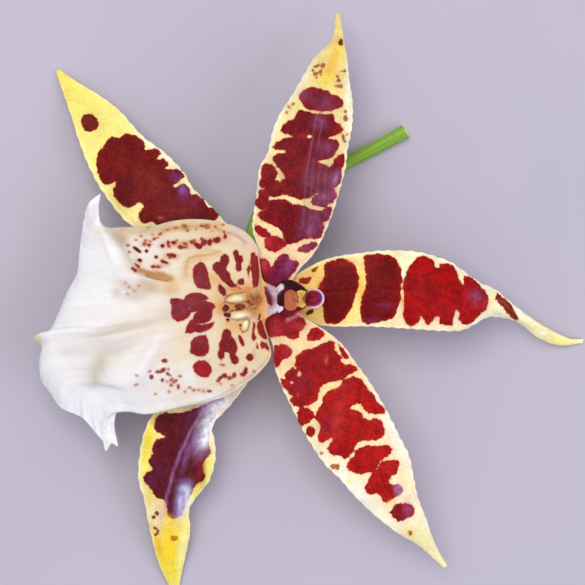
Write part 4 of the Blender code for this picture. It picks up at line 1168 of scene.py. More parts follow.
            (136.4, 240.4, 1.2, 0.8), (222, 364.6, 2.6, 0.9, 15),
        ]),
        ("#804a40", [
            (164.6, 360.4, 2.9, 1.8, 4), (151, 376.4, 1.7, 1.9, -25), (168, 373.2, 1.4, 1.5),
            (162.4, 379.4, 1.4, 1.7),
        ]),
        ("#98543e", [
            (163.2, 369.2, 2.1, 1.7, -40), (161, 371.2, 1.6, 1.1, -20), (178.6, 386.2, 1.3, 2.4),
        ]),
        ("#a8746c", [
            (171.8, 378.8, 1.8, 1.1, -40), (176, 380.2, 1.7, 1.3, -30),
            (171.6, 384.6, 1.7, 1.2, -30), (157, 371.2, 1.5, 1.3), (180.2, 375.6, 1.6, 1, 10),
            (170.6, 375, 1, 1), (209, 390.6, 2.3, 1.3), (173.8, 382, 1, 1),
            (168.4, 368.6, 1, 0.9),
        ]),
        ("#bcaaa0", [
            (167.4, 381, 1, 0.9), (169.4, 391.2, 1.2, 0.8), (155.4, 393.4, 1.3, 0.8),
            (136.8, 375, 1, 0.8), (136, 384, 1.4, 0.7, -20), (149, 370.4, 1.4, 0.9),
            (203.6, 390.4, 1.1, 1.8), (189.6, 387.4, 1.3, 0.9), (194, 389.6, 1.4, 1.1),
            (199, 389.2, 1.2, 0.9), (220.6, 383.6, 1, 0.9), (254, 371, 1.2, 1.4),
            (232, 385, 1.1, 0.7), (185, 391, 1, 0.7), (130, 287, 1.5, 1, 30),
            (135, 291, 1.3, 0.9), (126, 283, 1.2, 0.9), (139, 286.4, 1.1, 0.8),
            (128, 294, 1, 0.8),
        ]),
    ],
    "paintedSheenAndTints": [
        # purple painted sheen over the big spots
        ("#983a48", 0.35, [(180, 310, 7, 8), (191, 303, 5, 4), (198, 283, 3, 5), (200, 342, 4, 5)]),
        ("#c02c34", 0.5, [(203, 371, 6, 4)]), ("#5a1a06", 0.8, [(235.5, 307, 2, 3)]),
        ("#d2640e", 1.0, [(241, 306.8, 3, 2)]), ("#c87088", 0.7, [(189.5, 308.5, 1.4, 1.4)]),
        ("#c2aaa2", 0.75, [(273.5, 290.8, 3.2, 3.2)]), ("#b47c7c", 0.7, [(274, 299, 1.6, 4.4)]),
    ],
}


def lipShares(across):
    # one row of the grid runs along the crest line, so that the folds come out clean
    line = np.array(lip["crestLine"])
    crest = through(line[:, 0], line[:, 1], across)[None, :]
    rows = np.linspace(0, 1, lip["rows"] + 1)[:, None]
    turn = lip["crestRowShare"]
    before = crest * (rows / turn) ** 1.15
    after = crest + (1 - crest) * (rows - turn) / (1 - turn)
    return np.where(rows < turn, before, after), crest


def lipPlan(along, across):
    def sideLine(points):
        line = through(range(len(points)), points, places(points, along.ravel()))
        return line.reshape(*along.shape, 2)

    front = through(range(len(lip["front"])), lip["front"], places(lip["front"], (across + 1) / 2))
    side = (across + 1)[None, :, None] / 2
    straight = front[0] * (1 - side) + front[-1] * side
    sides = sideLine(lip["upperSide"]) * (1 - side) + sideLine(lip["lowerSide"]) * side
    return sides + along[..., None] * (front[None] - straight)


def dressLip(material):
    across = np.linspace(-1, 1, lip["columns"] + 1)
    along, crestLine = lipShares(across)
    points = np.zeros((*along.shape, 3))
    points[..., :2] = lipPlan(along, across)
    out = np.abs(across)[None, :]
    middle, rolled = [
        through(*np.array(lip[line]).T, along.ravel()).reshape(along.shape)
        for line in ("middle", "roll")
    ]
    height = middle - rolled * out**2.4
    fromCrest = (along - crestLine) / lip["pleatWidth"]
    for rise, lean, hand in lip["pleats"]:
        here = across * hand > 0
        crest = bell(fromCrest) * here
        dip = bell(fromCrest + 1.7) * here * out * (1 - out**6)
        height = height + rise * out**1.2 * crest - lip["pleatDip"] * dip
        points[..., :2] += (out**0.8 * (1 - out**4) * crest)[..., None] * lean
    points[..., 2] = height
    points[..., 0] += lip["clawReach"] * (1 - ramp(along, 0, 0.05)) * (1 - out**4)
    start, end = lip["callusX"]
    slopeIn, slopeOut = lip["callusSlopes"]
    onCallus = np.clip((points[..., 0] - start) / slopeIn, 0, 1)
    onCallus = onCallus * np.clip((end - points[..., 0]) / slopeOut, 0, 1)
    for ridge in lip["callusRidges"]:
        rise = bell((points[..., 1] - ridge) / lip["callusWidth"])
        points[..., 2] += lip["callusHeight"] * onCallus * rise
    # ruffles of the free margin, growing towards the front
    count, coarse, fine = lip["ruffles"]
    turns = 2 * math.pi * count * (across[None, :] + 0.3)
    ruffle = coarse * np.sin(turns) + fine * np.sin(2.37 * turns + 1.0)
    points[..., 2] += ruffle * ramp(along, 0.86, 1.0)
    count, coarse, fine = lip["sideRuffles"]
    turns = 2 * math.pi * count * along + 1.3
    ruffle = coarse * np.sin(turns) + fine * np.sin(1.9 * turns + 0.4)
    points[..., 2] += ruffle * out**7 * ramp(along, 0.12, 0.3)
    points = widened(points)
    px, py = inPhoto(points)
    for rise, *ellipse in lip["relief"]:
        points[..., 2] += rise * softEllipse(px, py, *ellipse)
    ground, depth, spot = paintOf(points, along, lip)
    half = lip["half"] + (lip["marginHalf"] - lip["half"]) * np.maximum(out**4, along**8)
    # branching veins stand out a little where the lip spreads
    veins = np.sin(2 * math.pi * lip["veins"] * across[None, :] + 3.0 * np.sin(5 * along))
    veins = np.clip(veins, 0, 1) ** 2
    free = ramp(along, 0.55, 0.95)
    above = half + lip["veinRise"] * veins * free + lip["spotRise"] * ramp(depth, 0.0, 0.4)
    below = half + lip["veinKeel"] * veins * free
    solid, faces, index, under = shell(points, above, below, lip["marginHalf"])
    lay = np.stack(np.broadcast_arrays(across, along * 50, 0.0), axis=2)
    hairy = insideEllipse(px, py, *lip["hairPatch"]) / lip["hairFade"]
    marks = paintMarks(ground, depth, spot, index)
    marks["lay"] = lay.reshape(-1, 3)[index]
    marks["back"] = under
    marks["hairy"] = np.clip(hairy.reshape(-1)[index], 0, 1) * (under < 0.25)
    piece = meshPiece("lipBlade", solid, faces, material, marks)
    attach(piece, "root")
    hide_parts("lip")
    print("lipBlade", len(faces), "faces")
    return piece


lipPiece = dressLip(lipSkin)


# column, anther cap and pollinarium

def waxySkin(name, look):
    # Firm, fleshy tissue with a waxy bloom: colour from the piece's own paint, a broad gloss
    # and a fine pebbling of the cells.
    material, tree, shader, place = newSkin(name)
    depth, ground, spot = [
        addNode(tree, "ShaderNodeAttribute", attribute_name=mark).outputs[output]
        for mark, output in (("spotDepth", "Fac"), ("ground", "Color"), ("spot", "Color"))
    ]
    # the edges of its marks wobble every half millimetre, its grains are 0.3 mm wide
    wobble, grains = [
        addNode(tree, "ShaderNodeTexNoise", {
            "Vector": place, "W": look["seed"] + seed, "Scale": scale,
            "Detail": detail}, noise_dimensions="4D").outputs["Fac"]
        for seed, scale, detail in ((0, 1900, 2), (5, 3200, 3))
    ]
    edge = addNode(tree, "ShaderNodeMath", {
        0: wobble, 1: 0.24, 2: depth}, operation="MULTIPLY_ADD").outputs[0]
    inSpot = addNode(tree, "ShaderNodeMapRange", {
        0: edge, 1: 0.02, 2: 0.24}, interpolation_type="SMOOTHSTEP").outputs[0]
    light, rough = [
        addNode(tree, "ShaderNodeMapRange", {
            0: grains, 1: 0.3, 2: 0.7, 3: middle - reach, 4: middle + reach}).outputs[0]
        for middle, reach in ((1, look["grains"]), (look["roughness"], 0.07))
    ]
    painted = addNode(tree, "ShaderNodeMix", {
        0: inSpot, 6: ground, 7: spot}, data_type="RGBA").outputs[2]
    colour = addNode(tree, "ShaderNodeVectorMath", {
        0: painted, "Scale": light}, operation="SCALE").outputs[0]
    cells = addNode(tree, "ShaderNodeTexVoronoi", {
        "Vector": place, "Scale": 1000 / look["cellSize"]}).outputs["Distance"]
    rise = addNode(tree, "ShaderNodeBump", {
        "Strength": look["bump"], "Distance": 0.00005, "Height": cells}, invert=True).outputs[0]
    feed(tree, shader, {
        "Base Color": colour, "Roughness": rough, "Normal": rise, "IOR": 1.45,
        "Specular IOR Level": look["specular"], "Subsurface Weight": look["subsurface"],
        "Subsurface Radius": (1.0, 0.5, 0.35), "Subsurface Scale": 0.0006,
    })
    return material


columnSkin = waxySkin("column_tissue_waxy", {
    "seed": 41.0, "grains": 0.10, "roughness": 0.4, "cellSize": 0.25, "bump": 0.3,
    "subsurface": 0.12, "specular": 0.2})
capSkin = waxySkin("anther_cap_glossy", {
    "seed": 43.0, "grains": 0.12, "roughness": 0.32, "cellSize": 0.2, "bump": 0.3,
    "subsurface": 0.06, "specular": 0.14})
polliniaSkin = waxySkin("pollinia_wax", {
    "seed": 47.0, "grains": 0.10, "roughness": 0.34, "cellSize": 0.15, "bump": 0.25,
    "subsurface": 0.25, "specular": 0.16})

column = {
    "sections": [
        (0.0, 15.65, 1.1, 1.1, 0.0, 0.0), (0.0, 17.6, 1.2, 1.15, 0.0, 0.0),
        (0.6, 19.3, 2.1, 1.3, 0.2, 0.5), (1.6, 20.8, 3.2, 1.5, 1.0, 1.0),
        (2.9, 21.8, 3.5, 1.6, 1.5, 1.1), (4.3, 22.0, 2.8, 1.2, 0.7, 0.6),
        (6.0, 21.5, 1.6, 0.6, 0.2, 0.0), (7.6, 21.1, 1.0, 0.4, 0.0, 0.0),
    ],
    "sides": 96, "rings": 110, "stigmaHalfAngle": 0.75, "wingAngle": 1.15, "wingHalfAngle": 0.3,
    "wingTeeth": 0.12, "wingSpread": 0.4, "ground": [(0.0, "#36040a"), (1.0, "#30040c")],
    "stainsAndPaintedLight": [
        ("#86101e", 0.9, [(296, 313, 9, 3.5, -15), (288, 312, 6, 4, -30)]),
        ("#4a0a1c", 0.7, [(303, 286, 5, 3, 30)]),
    ],
    "spots": [
        ("#efe6f4", [[
            (264, 284), (271, 285), (277, 287), (281, 283.5), (284, 285), (283.5, 289),
            (279, 292), (276.8, 295), (276.8, 303), (279, 306), (283, 307), (283.5, 309.5),
            (277, 314), (265, 314), (266, 307), (272, 305.5), (273, 301), (273, 295),
            (270, 290.5), (265, 290),
        ]]),
        ("#bc6446", [(290.6, 297, 6.4, 7.2), (291, 304, 6.6, 6.8)]),
        ("#ffcf6c", [[
            (297, 291.5), (301, 290), (306, 291), (307, 299), (306, 306), (302, 308),
            (299, 306.5), (297, 303.5), (298, 298),
        ]]),
    ],
    "paintedSheenAndTints": [
        ("#c4a49c", 0.75, [(276.5, 291.5, 3.4, 3)]), ("#b47c7c", 0.8, [(275.4, 299.5, 1.8, 4.4)]),
        ("#ffdcc4", 0.6, [(281.6, 287, 2.2, 2.4)]),
        # painted highlight along the column's lit lower rim
        ("#e8909c", 0.8, [(1.2, [(297, 314.5), (302, 311.5), (307, 307.5)])]),
        ("#94401c", 0.8, [(297, 299, 2.2, 3)]), ("#a85040", 0.5, [(286.5, 300, 1.5, 8)]),
    ],
}
cap = {
    "middle": (7.36, -0.1, 23.6), "radii": (2.02, 2.0, 1.55), "groove": 0.22, "beak": 0.25,
    "bumps": 0.05, "sides": 96, "rings": 56, "ground": [(0.0, "#82081a"), (1.0, "#82081a")],
    "stainsAndPaintedLight": [
        ("#48041a", 0.85, [(309, 297, 3.5, 6), (311, 303, 5, 3)]),
        ("#9a0c28", 0.6, [(313, 304, 5, 3)]), ("#b06a30", 0.7, [(304.5, 299, 1.8, 5)]),
        ("#4c1a6c", 0.85, [(320, 297, 2.2, 5.5, 8)]),
        ("#fbe2ee", 1.0, [
            (1.3, [
                (307, 290.6), (310, 289), (314, 288.6), (319.4, 290), (322.8, 293.6), (324, 298),
                (322.8, 303), (319.5, 306.4), (314.5, 308), (308.5, 308),
            ]),
        ]),
    ],
    "spots": [("#4c0416", [(307, 300, 1.6, 3.2)])],
}
pollinarium = {
    "x": (3.1, 4.85), "y": -0.1, "z": 23.62,
    # half widths and heights: of the strap, and what the pollinia add
    "widths": (0.42, 0.95), "heights": (0.24, 0.36), "cleft": 0.35, "sides": 48, "rings": 60,
    "ground": [(0.0, "#cc7c38"), (0.45, "#d28e3c"), (0.7, "#dea04c"), (1.0, "#e6ac5c")],
    "stainsAndPaintedLight": [("#a8581c", 0.85, [(296.5, 299.5, 2.5, 3)])],
    "spots": [("#7a3410", [(294, 299, 1.4, 1.1), (298, 297.5, 0.9, 1.1), (298, 302, 0.9, 1.1)])],
}


def ringsPiece(name, rings, share, paint, material):
    # a closed skin over a stack of rings, each end drawn together in small steps
    start, end = [
        [ring.mean(axis=0) + (ring - ring.mean(axis=0)) * size for size in (0.02, 0.5, 0.85)]
        for ring in (rings[0], rings[-1])
    ]
    points = np.array([*start, *rings, *end[::-1]])
    rows, sides = points.shape[:2]
    faces = gridFaces(rows, sides, closed=True)
    faces.append(list(range(sides))[::-1])
    faces.append(list(range((rows - 1) * sides, rows * sides)))
    # turned round where they look inwards
    flat = points.reshape(-1, 3)
    corner = flat[faces[sides * (rows // 2)][:3]]
    outward = np.cross(corner[1] - corner[0], corner[2] - corner[0])
    if outward.dot(corner[0] - points[rows // 2].mean(axis=0)) < 0:
        faces = [face[::-1] for face in faces]
    shares = np.repeat(np.pad(share, 3, mode="edge")[:, None], sides, axis=1)
    marks = paintMarks(*paintOf(points, shares, paint))
    return meshPiece(name, flat, faces, material, marks)


def dressColumn():
    sections = np.array(column["sections"])
    shares = np.linspace(0, 1, column["rings"] + 1)
    rows = through(range(len(sections)), sections, places(sections[:, :2], shares))
    slope = np.gradient(rows[:, :2], axis=0)
    slope /= np.linalg.norm(slope, axis=1, keepdims=True)
    angles = np.linspace(-math.pi, math.pi, column["sides"], endpoint=False)
    rings = []
    for (x, z, width, depth, stigma, wing), (run, rise) in zip(rows, slope):
        wings = bell((np.abs(angles) - column["wingAngle"]) / column["wingHalfAngle"]) * wing
        wings = wings * (1 + column["wingTeeth"] * np.sin(9 * x + 4 * angles))
        face = depth * np.cos(angles) - stigma * bell(angles / column["stigmaHalfAngle"]) + wings
        side = (width + column["wingSpread"] * wings) * np.sin(angles)
        rings.append(np.stack([x - rise * face, side, z + run * face], axis=1))
    piece = ringsPiece("columnBody", np.array(rings), shares, column, columnSkin)
    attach(piece, "root")
    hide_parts("column")


def dressCap():
    turns = np.linspace(0, 2 * math.pi, cap["sides"], endpoint=False)
    rings = []
    for rise in np.linspace(-0.49 * math.pi, 0.49 * math.pi, cap["rings"]):
        level = math.cos(rise)
        x = cap["radii"][0] * level * np.cos(turns)
        y = cap["radii"][1] * level * np.sin(turns)
        z = np.full_like(x, cap["radii"][2] * math.sin(rise))
        x = x - cap["beak"] * bell(y / 0.8) * np.clip(-x / cap["radii"][0], 0, 1)
        up = max(math.sin(rise), 0)
        z = z - cap["groove"] * bell(y / 0.45) * up
        z = z + cap["bumps"] * np.sin(3 * x) * np.cos(4 * y) * up
        rings.append(np.stack([x, y, z], axis=1) + cap["middle"])
    shares = np.linspace(0, 1, len(rings))
    piece = ringsPiece("antherCap", np.array(rings), shares, cap, capSkin)
    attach(piece, "root")
    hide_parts("anther_cap")


def dressPollinarium():
    start, end = pollinarium["x"]
    width, widthSwell = pollinarium["widths"]
    height, heightSwell = pollinarium["heights"]
    turns = np.linspace(0, 2 * math.pi, pollinarium["sides"], endpoint=False)
    shares = np.linspace(0, 1, pollinarium["rings"])
    rings = []
    for share in shares:
        x = start + (end - start) * share
        swell = math.sin(math.pi * min(max((share - 0.45) / 0.6, 0.0), 1.0))
        roundEnd = math.sqrt(max(0.04, 1 - (2 * share - 1) ** 6))
        y = (width + widthSwell * swell) * roundEnd * np.cos(turns)
        cleft = 1 - pollinarium["cleft"] * swell * bell(y / 0.28)
        z = (height + heightSwell * swell) * roundEnd * np.sin(turns) * cleft
        ring = [np.full_like(y, x), y + pollinarium["y"], pollinarium["z"] + z]
        rings.append(np.stack(ring, axis=1))
    piece = ringsPiece("pollinia", np.array(rings), shares, pollinarium, polliniaSkin)
    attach(piece, "root")
    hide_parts("pollinarium")


dressColumn()
dressCap()
dressPollinarium()
print("column, cap and pollinia made")


# geometry trees

def newTree(name, inputs):
    # an empty geometry tree with named inputs: name, kind of socket, value
    tree = bpy.data.node_groups.new(name, "GeometryNodeTree")
    for label, kind, value in [("Geometry", "Geometry", None), *inputs]:
        socket = tree.interface.new_socket(
            name=label, in_out="INPUT", socket_type="NodeSocket" + kind)
        if value is not None:
            socket.default_value = value
    tree.interface.new_socket(name="Geometry", in_out="OUTPUT", socket_type="NodeSocketGeometry")
    return tree


def endTree(tree, geometry, skin):
    # smooth, with its instances made real, and in its material
    smooth = addNode(tree, "GeometryNodeSetShadeSmooth", {"Geometry": geometry}).outputs[0]
    real = addNode(tree, "GeometryNodeRealizeInstances", {"Geometry": smooth}).outputs[0]
    skinned = addNode(tree, "GeometryNodeSetMaterial", {
        "Geometry": real, "Material": skin}).outputs[0]
    addNode(tree, "NodeGroupOutput", {"Geometry": skinned})


def grow(source, tree, values, name):
    # runs a tree on an object and keeps the result as a plain mesh piece
    modifier = source.modifiers.new("grow", "NODES")
    modifier.node_group = tree
    for item in tree.interface.items_tree:
        if item.in_out == "INPUT" and item.name in values:
            modifier[item.identifier] = values[item.name]
    graph = bpy.context.evaluated_depsgraph_get()
    mesh = bpy.data.meshes.new_from_object(source.evaluated_get(graph))
    source.modifiers.remove(modifier)
    piece = bpy.data.objects.new(name, mesh)
    bpy.context.scene.collection.objects.link(piece)
    return piece


# ovary and pedicel

stalk = {
    "route": [
        (0.0, 0.0, 15.15, 2.6), (0.0, 0.0, 14.4, 2.4), (-0.2, 0.4, 12.6, 1.75),
        (-1.3, 2.6, 8.8, 1.85), (-3.5, 6.6, 4.9, 1.85), (-5.2, 12.0, 2.4, 1.65),
        (-4.0, 17.6, 1.3, 1.45), (1.4, 22.2, 0.95, 1.35), (9.2, 26.0, 0.95, 1.35),
        (18.0, 30.4, 0.95, 1.35), (26.9, 35.2, 1.1, 1.45),
    ],
    "rings": 260, "sides": 72, "ribs": 6, "ribHeight": 0.16, "ovaryShare": 0.42,
    "unevenness": 0.07, "seed": 5,
}


def stalkTree():
    tree = newTree("ribbedStalk", [
        ("Rings", "Int", 200), ("Sides", "Int", 48), ("Ribs", "Float", 6.0),
        ("Rib height", "Float", 0.0), ("Ovary share", "Float", 0.4),
        ("Unevenness", "Float", 0.0), ("Seed", "Float", 0.0), ("Skin", "Material", None),
    ])
    start = addNode(tree, "NodeGroupInput").outputs
    # the route and the round section, each with its own measure kept on the tube
    factor = addNode(tree, "GeometryNodeSplineParameter").outputs["Factor"]
    finer = addNode(tree, "GeometryNodeResampleCurve", {
        "Curve": start["Geometry"], "Count": start["Rings"]}).outputs[0]
    circle = addNode(tree, "GeometryNodeCurvePrimitiveCircle", {
        "Resolution": start["Sides"], "Radius": 1.0}).outputs[0]
    rail, profile = [
        addNode(tree, "GeometryNodeStoreNamedAttribute", {
            "Geometry": curve, "Name": measure, "Value": factor}, data_type="FLOAT").outputs[0]
        for curve, measure in ((finer, "share"), (circle, "turn"))
    ]
    radius = addNode(tree, "GeometryNodeInputRadius").outputs[0]
    tube = addNode(tree, "GeometryNodeCurveToMesh", {
        "Curve": rail, "Profile Curve": profile, "Scale": radius, "Fill Caps": True}).outputs[0]
    along, around = [
        addNode(tree, "GeometryNodeInputNamedAttribute", {"Name": measure},
            data_type="FLOAT").outputs[0]
        for measure in ("share", "turn")
    ]
    # the ribs rise and fade over the ovary's length
    fadeStart = addNode(tree, "ShaderNodeMath", {
        0: start["Ovary share"], 1: 0.1}, operation="SUBTRACT").outputs[0]
    fade = addNode(tree, "ShaderNodeMapRange", {
        0: along, 1: fadeStart, 2: start["Ovary share"], 3: 1.0, 4: 0.0},
        interpolation_type="SMOOTHSTEP").outputs[0]
    rise = addNode(tree, "ShaderNodeMapRange", {
        0: along, 1: 0.0, 2: 0.08}, interpolation_type="SMOOTHSTEP").outputs[0]
    angle = around
    for times in (start["Ribs"], 2 * math.pi):
        angle = addNode(tree, "ShaderNodeMath", {
            0: angle, 1: times}, operation="MULTIPLY").outputs[0]
    ribs = addNode(tree, "ShaderNodeMath", {0: angle}, operation="COSINE").outputs[0]
    for times in (start["Rib height"], fade, rise):
        ribs = addNode(tree, "ShaderNodeMath", {
            0: ribs, 1: times}, operation="MULTIPLY").outputs[0]
    # low bumps, 2.4 mm wide
    bumps = addNode(tree, "ShaderNodeTexNoise", {
        "W": start["Seed"], "Scale": 420.0, "Detail": 2.0}, noise_dimensions="4D").outputs["Fac"]
    centred = addNode(tree, "ShaderNodeMath", {
        0: bumps, 1: 0.5}, operation="SUBTRACT").outputs[0]
    uneven = addNode(tree, "ShaderNodeMath", {
        0: centred, 1: start["Unevenness"], 2: ribs}, operation="MULTIPLY_ADD").outputs[0]
    normal = addNode(tree, "GeometryNodeInputNormal").outputs["Normal"]
    offset = addNode(tree, "ShaderNodeVectorMath", {
        0: normal, "Scale": uneven}, operation="SCALE").outputs[0]
    moved = addNode(tree, "GeometryNodeSetPosition", {
        "Geometry": tube, "Offset": offset}).outputs[0]
    # it is flat underneath where it lies
    where = addNode(tree, "GeometryNodeInputPosition").outputs[0]
    parts = addNode(tree, "ShaderNodeSeparateXYZ", {0: where}).outputs
    lifted = addNode(tree, "ShaderNodeMath", {
        0: parts["Z"], 1: 0.0}, operation="MAXIMUM").outputs[0]
    flat = addNode(tree, "ShaderNodeCombineXYZ", {
        "X": parts["X"], "Y": parts["Y"], "Z": lifted}).outputs[0]
    laid = addNode(tree, "GeometryNodeSetPosition", {
        "Geometry": moved, "Position": flat}).outputs[0]
    endTree(tree, laid, start["Skin"])
    return tree


def greenSkin():
    # Fresh green stem tissue with a thin cuticle: fine lengthwise streaks, a few purple
    # flecks, and a pale, wet cut end.
    material, tree, shader, place = newSkin("stalk_cuticle_green")
    share, turn = [
        addNode(tree, "ShaderNodeAttribute", attribute_name=mark).outputs["Fac"]
        for mark in ("share", "turn")
    ]
    lay = addNode(tree, "ShaderNodeCombineXYZ", {"X": turn, "Y": share}).outputs[0]
    drawnOut = addNode(tree, "ShaderNodeVectorMath", {
        0: lay, 1: (26.0, 5.0, 0.0)}, operation="MULTIPLY").outputs[0]
    streaks = addNode(tree, "ShaderNodeTexNoise", {
        "Vector": drawnOut, "Scale": 1.0, "Detail": 3.0}).outputs["Fac"]
    # flecks 0.9 mm wide
    flecks = addNode(tree, "ShaderNodeTexNoise", {
        "Vector": place, "W": 2.0, "Scale": 1100.0, "Detail": 2.0},
        noise_dimensions="4D").outputs["Fac"]
    fleckShare = addNode(tree, "ShaderNodeMapRange", {
        0: flecks, 1: 0.64, 2: 0.72, 4: 0.6}, interpolation_type="SMOOTHSTEP").outputs[0]
    cut = addNode(tree, "ShaderNodeMapRange", {0: share, 1: 0.9975, 2: 0.999}).outputs[0]
    colour = rgba("#5c8f12")
    for layer, hexColour in ((streaks, "#9cc63a"), (fleckShare, "#6a4a30"), (cut, "#dbe8a8")):
        colour = addNode(tree, "ShaderNodeMix", {
            0: layer, 6: colour, 7: rgba(hexColour)}, data_type="RGBA").outputs[2]
    rough = addNode(tree, "ShaderNodeMapRange", {
        0: streaks, 1: 0.3, 2: 0.7, 3: 0.34, 4: 0.5}).outputs[0]
    rise = addNode(tree, "ShaderNodeBump", {
        "Strength": 0.4, "Distance": 0.0001, "Height": streaks}).outputs[0]
    feed(tree, shader, {
        "Base Color": colour, "Roughness": rough, "Normal": rise, "IOR": 1.42,
        "Subsurface Weight": 0.15, "Subsurface Radius": (0.5, 1.0, 0.3),
        "Subsurface Scale": 0.0008,
    })
    return material


def dressStalk():
    route = np.array(stalk["route"])
    at = places(route[:, :3], np.linspace(0, 1, 60))
    rows = through(range(len(route)), route, at)
    rows[:, :2] += seen["shift"]
    curve = bpy.data.curves.new("stalkRoute", "CURVE")
    curve.dimensions = "3D"
    spline = curve.splines.new("POLY")
    spline.points.add(len(rows) - 1)
    for point, (x, y, z, radius) in zip(spline.points, rows * mm):
        point.co = (x, y, z, 1.0)
        point.radius = radius
    source = bpy.data.objects.new("stalkRoute", curve)
    bpy.context.scene.collection.objects.link(source)
    piece = grow(source, stalkTree(), {
        "Rings": stalk["rings"], "Sides": stalk["sides"], "Ribs": float(stalk["ribs"]),
        "Rib height": stalk["ribHeight"] * mm, "Ovary share": stalk["ovaryShare"],
        "Unevenness": stalk["unevenness"] * mm, "Seed": float(stalk["seed"]),
        "Skin": greenSkin(),
    }, "ovaryAndPedicel")
    bpy.data.objects.remove(source)
    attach(piece, "root")
    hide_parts("ovary_pedicel")
    print("ovaryAndPedicel", len(piece.data.polygons), "faces")


dressStalk()


# hairs of the callus

hairs = {"perSquareMm": 9.0, "length": 0.34, "radius": 0.035, "lean": 0.35, "seed": 8}


def hairTree():
    tree = newTree("callusHairs", [
        ("Density", "Float", 1.0), ("Length", "Float", 0.001), ("Radius", "Float", 0.0001),
        ("Seed", "Int", 0), ("Skin", "Material", None),
    ])
    start = addNode(tree, "NodeGroupInput").outputs
    hairy = addNode(tree, "GeometryNodeInputNamedAttribute", {
        "Name": "hairy"}, data_type="FLOAT").outputs[0]
    density = addNode(tree, "ShaderNodeMath", {
        0: hairy, 1: start["Density"]}, operation="MULTIPLY").outputs[0]
    rooted = addNode(tree, "GeometryNodeDistributePointsOnFaces", {
        "Mesh": start["Geometry"], "Density": density, "Seed": start["Seed"]}).outputs
    cone = addNode(tree, "GeometryNodeMeshCone", {
        "Vertices": 5, "Side Segments": 2, "Radius Top": 0.25, "Radius Bottom": 1.0,
        "Depth": 1.0}).outputs["Mesh"]
    size = addNode(tree, "ShaderNodeCombineXYZ", {
        "X": start["Radius"], "Y": start["Radius"], "Z": start["Length"]}).outputs[0]
    chance = addNode(tree, "FunctionNodeRandomValue", {
        2: 0.5, 3: 1.15, "Seed": start["Seed"]}, data_type="FLOAT").outputs[1]
    scale = addNode(tree, "ShaderNodeVectorMath", {
        0: size, "Scale": chance}, operation="SCALE").outputs[0]
    tilt = addNode(tree, "FunctionNodeRandomValue", {
        0: (-hairs["lean"], -hairs["lean"], 0.0), 1: (hairs["lean"], hairs["lean"], 6.28),
        "Seed": start["Seed"]}, data_type="FLOAT_VECTOR").outputs[0]
    turned = addNode(tree, "FunctionNodeRotateRotation", {
        "Rotation": rooted["Rotation"], "Rotate By": tilt}, rotation_space="LOCAL").outputs[0]
    standing = addNode(tree, "GeometryNodeInstanceOnPoints", {
        "Points": rooted["Points"], "Instance": cone, "Rotation": turned,
        "Scale": scale}).outputs[0]
    endTree(tree, standing, start["Skin"])
    return tree


def hairSkin():
    # Single-celled hairs full of clear sap: pale yellow, a little see-through, browner in patches.
    material, tree, shader, place = newSkin("callus_hair_cells")
    # patches 1.1 mm wide
    patches = addNode(tree, "ShaderNodeTexNoise", {
        "Vector": place, "W": 6.0, "Scale": 900.0, "Detail": 2.0},
        noise_dimensions="4D").outputs["Fac"]
    share = addNode(tree, "ShaderNodeMapRange", {
        0: patches, 1: 0.45, 2: 0.62}, interpolation_type="SMOOTHSTEP").outputs[0]
    colour = addNode(tree, "ShaderNodeMix", {
        0: share, 6: rgba("#f6e7a0"), 7: rgba("#dba94c")}, data_type="RGBA").outputs[2]
    rough = addNode(tree, "ShaderNodeMapRange", {0: patches, 3: 0.35, 4: 0.5}).outputs[0]
    feed(tree, shader, {
        "Base Color": colour, "Roughness": rough, "Subsurface Weight": 0.3,
        "Subsurface Scale": 0.0003,
    })
    return material


hairPiece = grow(lipPiece, hairTree(), {
    "Density": hairs["perSquareMm"] / mm**2, "Length": hairs["length"] * mm,
    "Radius": hairs["radius"] * mm, "Seed": hairs["seed"], "Skin": hairSkin(),
}, "callusHairs")
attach(hairPiece, "root")
print("callusHairs", len(hairPiece.data.polygons), "faces")


# floor, light and camera

stage = {
    "floorSize": 1.6, "floorColours": ("#aeacba", "#c2bac4"),
    "keyPower": 4.3, "fillPower": 2.2, "worldColour": "#f4f4ff", "worldStrength": 0.64,
    "sensor": 36.0, "lens": 135.7, "clip": (0.05, 5.0),
}


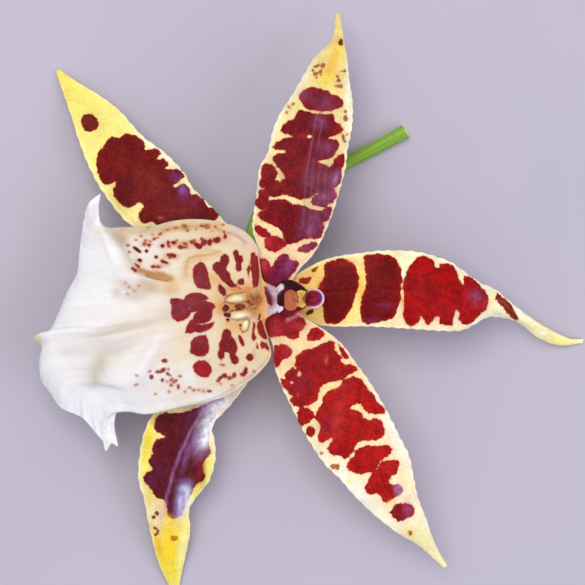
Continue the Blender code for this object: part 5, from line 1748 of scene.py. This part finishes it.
def makeFloor():
    # Matt painted board: pale lilac grey, very slightly uneven.
    material, tree, shader, place = newSkin("board_painted_matt")
    uneven = addNode(tree, "ShaderNodeTexNoise", {
        "Vector": place, "Scale": 14.0, "Detail": 3.0}).outputs["Fac"]
    one, other = [rgba(hexColour) for hexColour in stage["floorColours"]]
    colour = addNode(tree, "ShaderNodeMix", {
        0: uneven, 6: one, 7: other}, data_type="RGBA").outputs[2]
    feed(tree, shader, {"Base Color": colour, "Roughness": 0.8})
    half = stage["floorSize"] / 2
    mesh = bpy.data.meshes.new("floor")
    corners = [(-half, -half, 0), (half, -half, 0), (half, half, 0), (-half, half, 0)]
    mesh.from_pydata(corners, [], [(0, 1, 2, 3)])
    mesh.materials.append(material)
    floor = bpy.data.objects.new("floor", mesh)
    bpy.context.scene.collection.objects.link(floor)


def addSoftbox(name, place, size, power, hexColour):
    # a square lamp that faces the bloom
    light = bpy.data.lights.new(name, "AREA")
    light.size = size
    light.energy = power
    light.color = tuple(linear(hexColour))
    box = bpy.data.objects.new(name, light)
    box.location = place
    x, y, z = np.array(place) / np.linalg.norm(place)
    box.rotation_euler = (math.acos(z), 0, math.atan2(-y, -x) - math.pi / 2)
    bpy.context.scene.collection.objects.link(box)


def addCamera():
    # straight over the bloom, at the photo's viewing angle
    camera = bpy.data.cameras.new("eye")
    camera.sensor_width = stage["sensor"]
    camera.lens = stage["lens"]
    camera.clip_start, camera.clip_end = stage["clip"]
    eye = bpy.data.objects.new("eye", camera)
    x, y = np.array(seen["eyeOver"]) + seen["shift"]
    eye.location = np.array([x, y, seen["eyeAbove"] + seen["middleHeight"]]) * mm
    bpy.context.scene.collection.objects.link(eye)
    bpy.context.scene.camera = eye


makeFloor()
addSoftbox("keyBox", (-0.16, 0.26, 0.86), 0.6, stage["keyPower"], "#fffdf8")
addSoftbox("fillBox", (0.55, -0.35, 0.6), 0.5, stage["fillPower"], "#e4e2ff")
world = bpy.data.worlds.new("studio")
world.use_nodes = True
feed(world.node_tree, world.node_tree.nodes["Background"], {
    "Color": rgba(stage["worldColour"]), "Strength": stage["worldStrength"]})
bpy.context.scene.world = world
bpy.context.scene.view_settings.view_transform = "Standard"
addCamera()
print("floor, light and camera set")
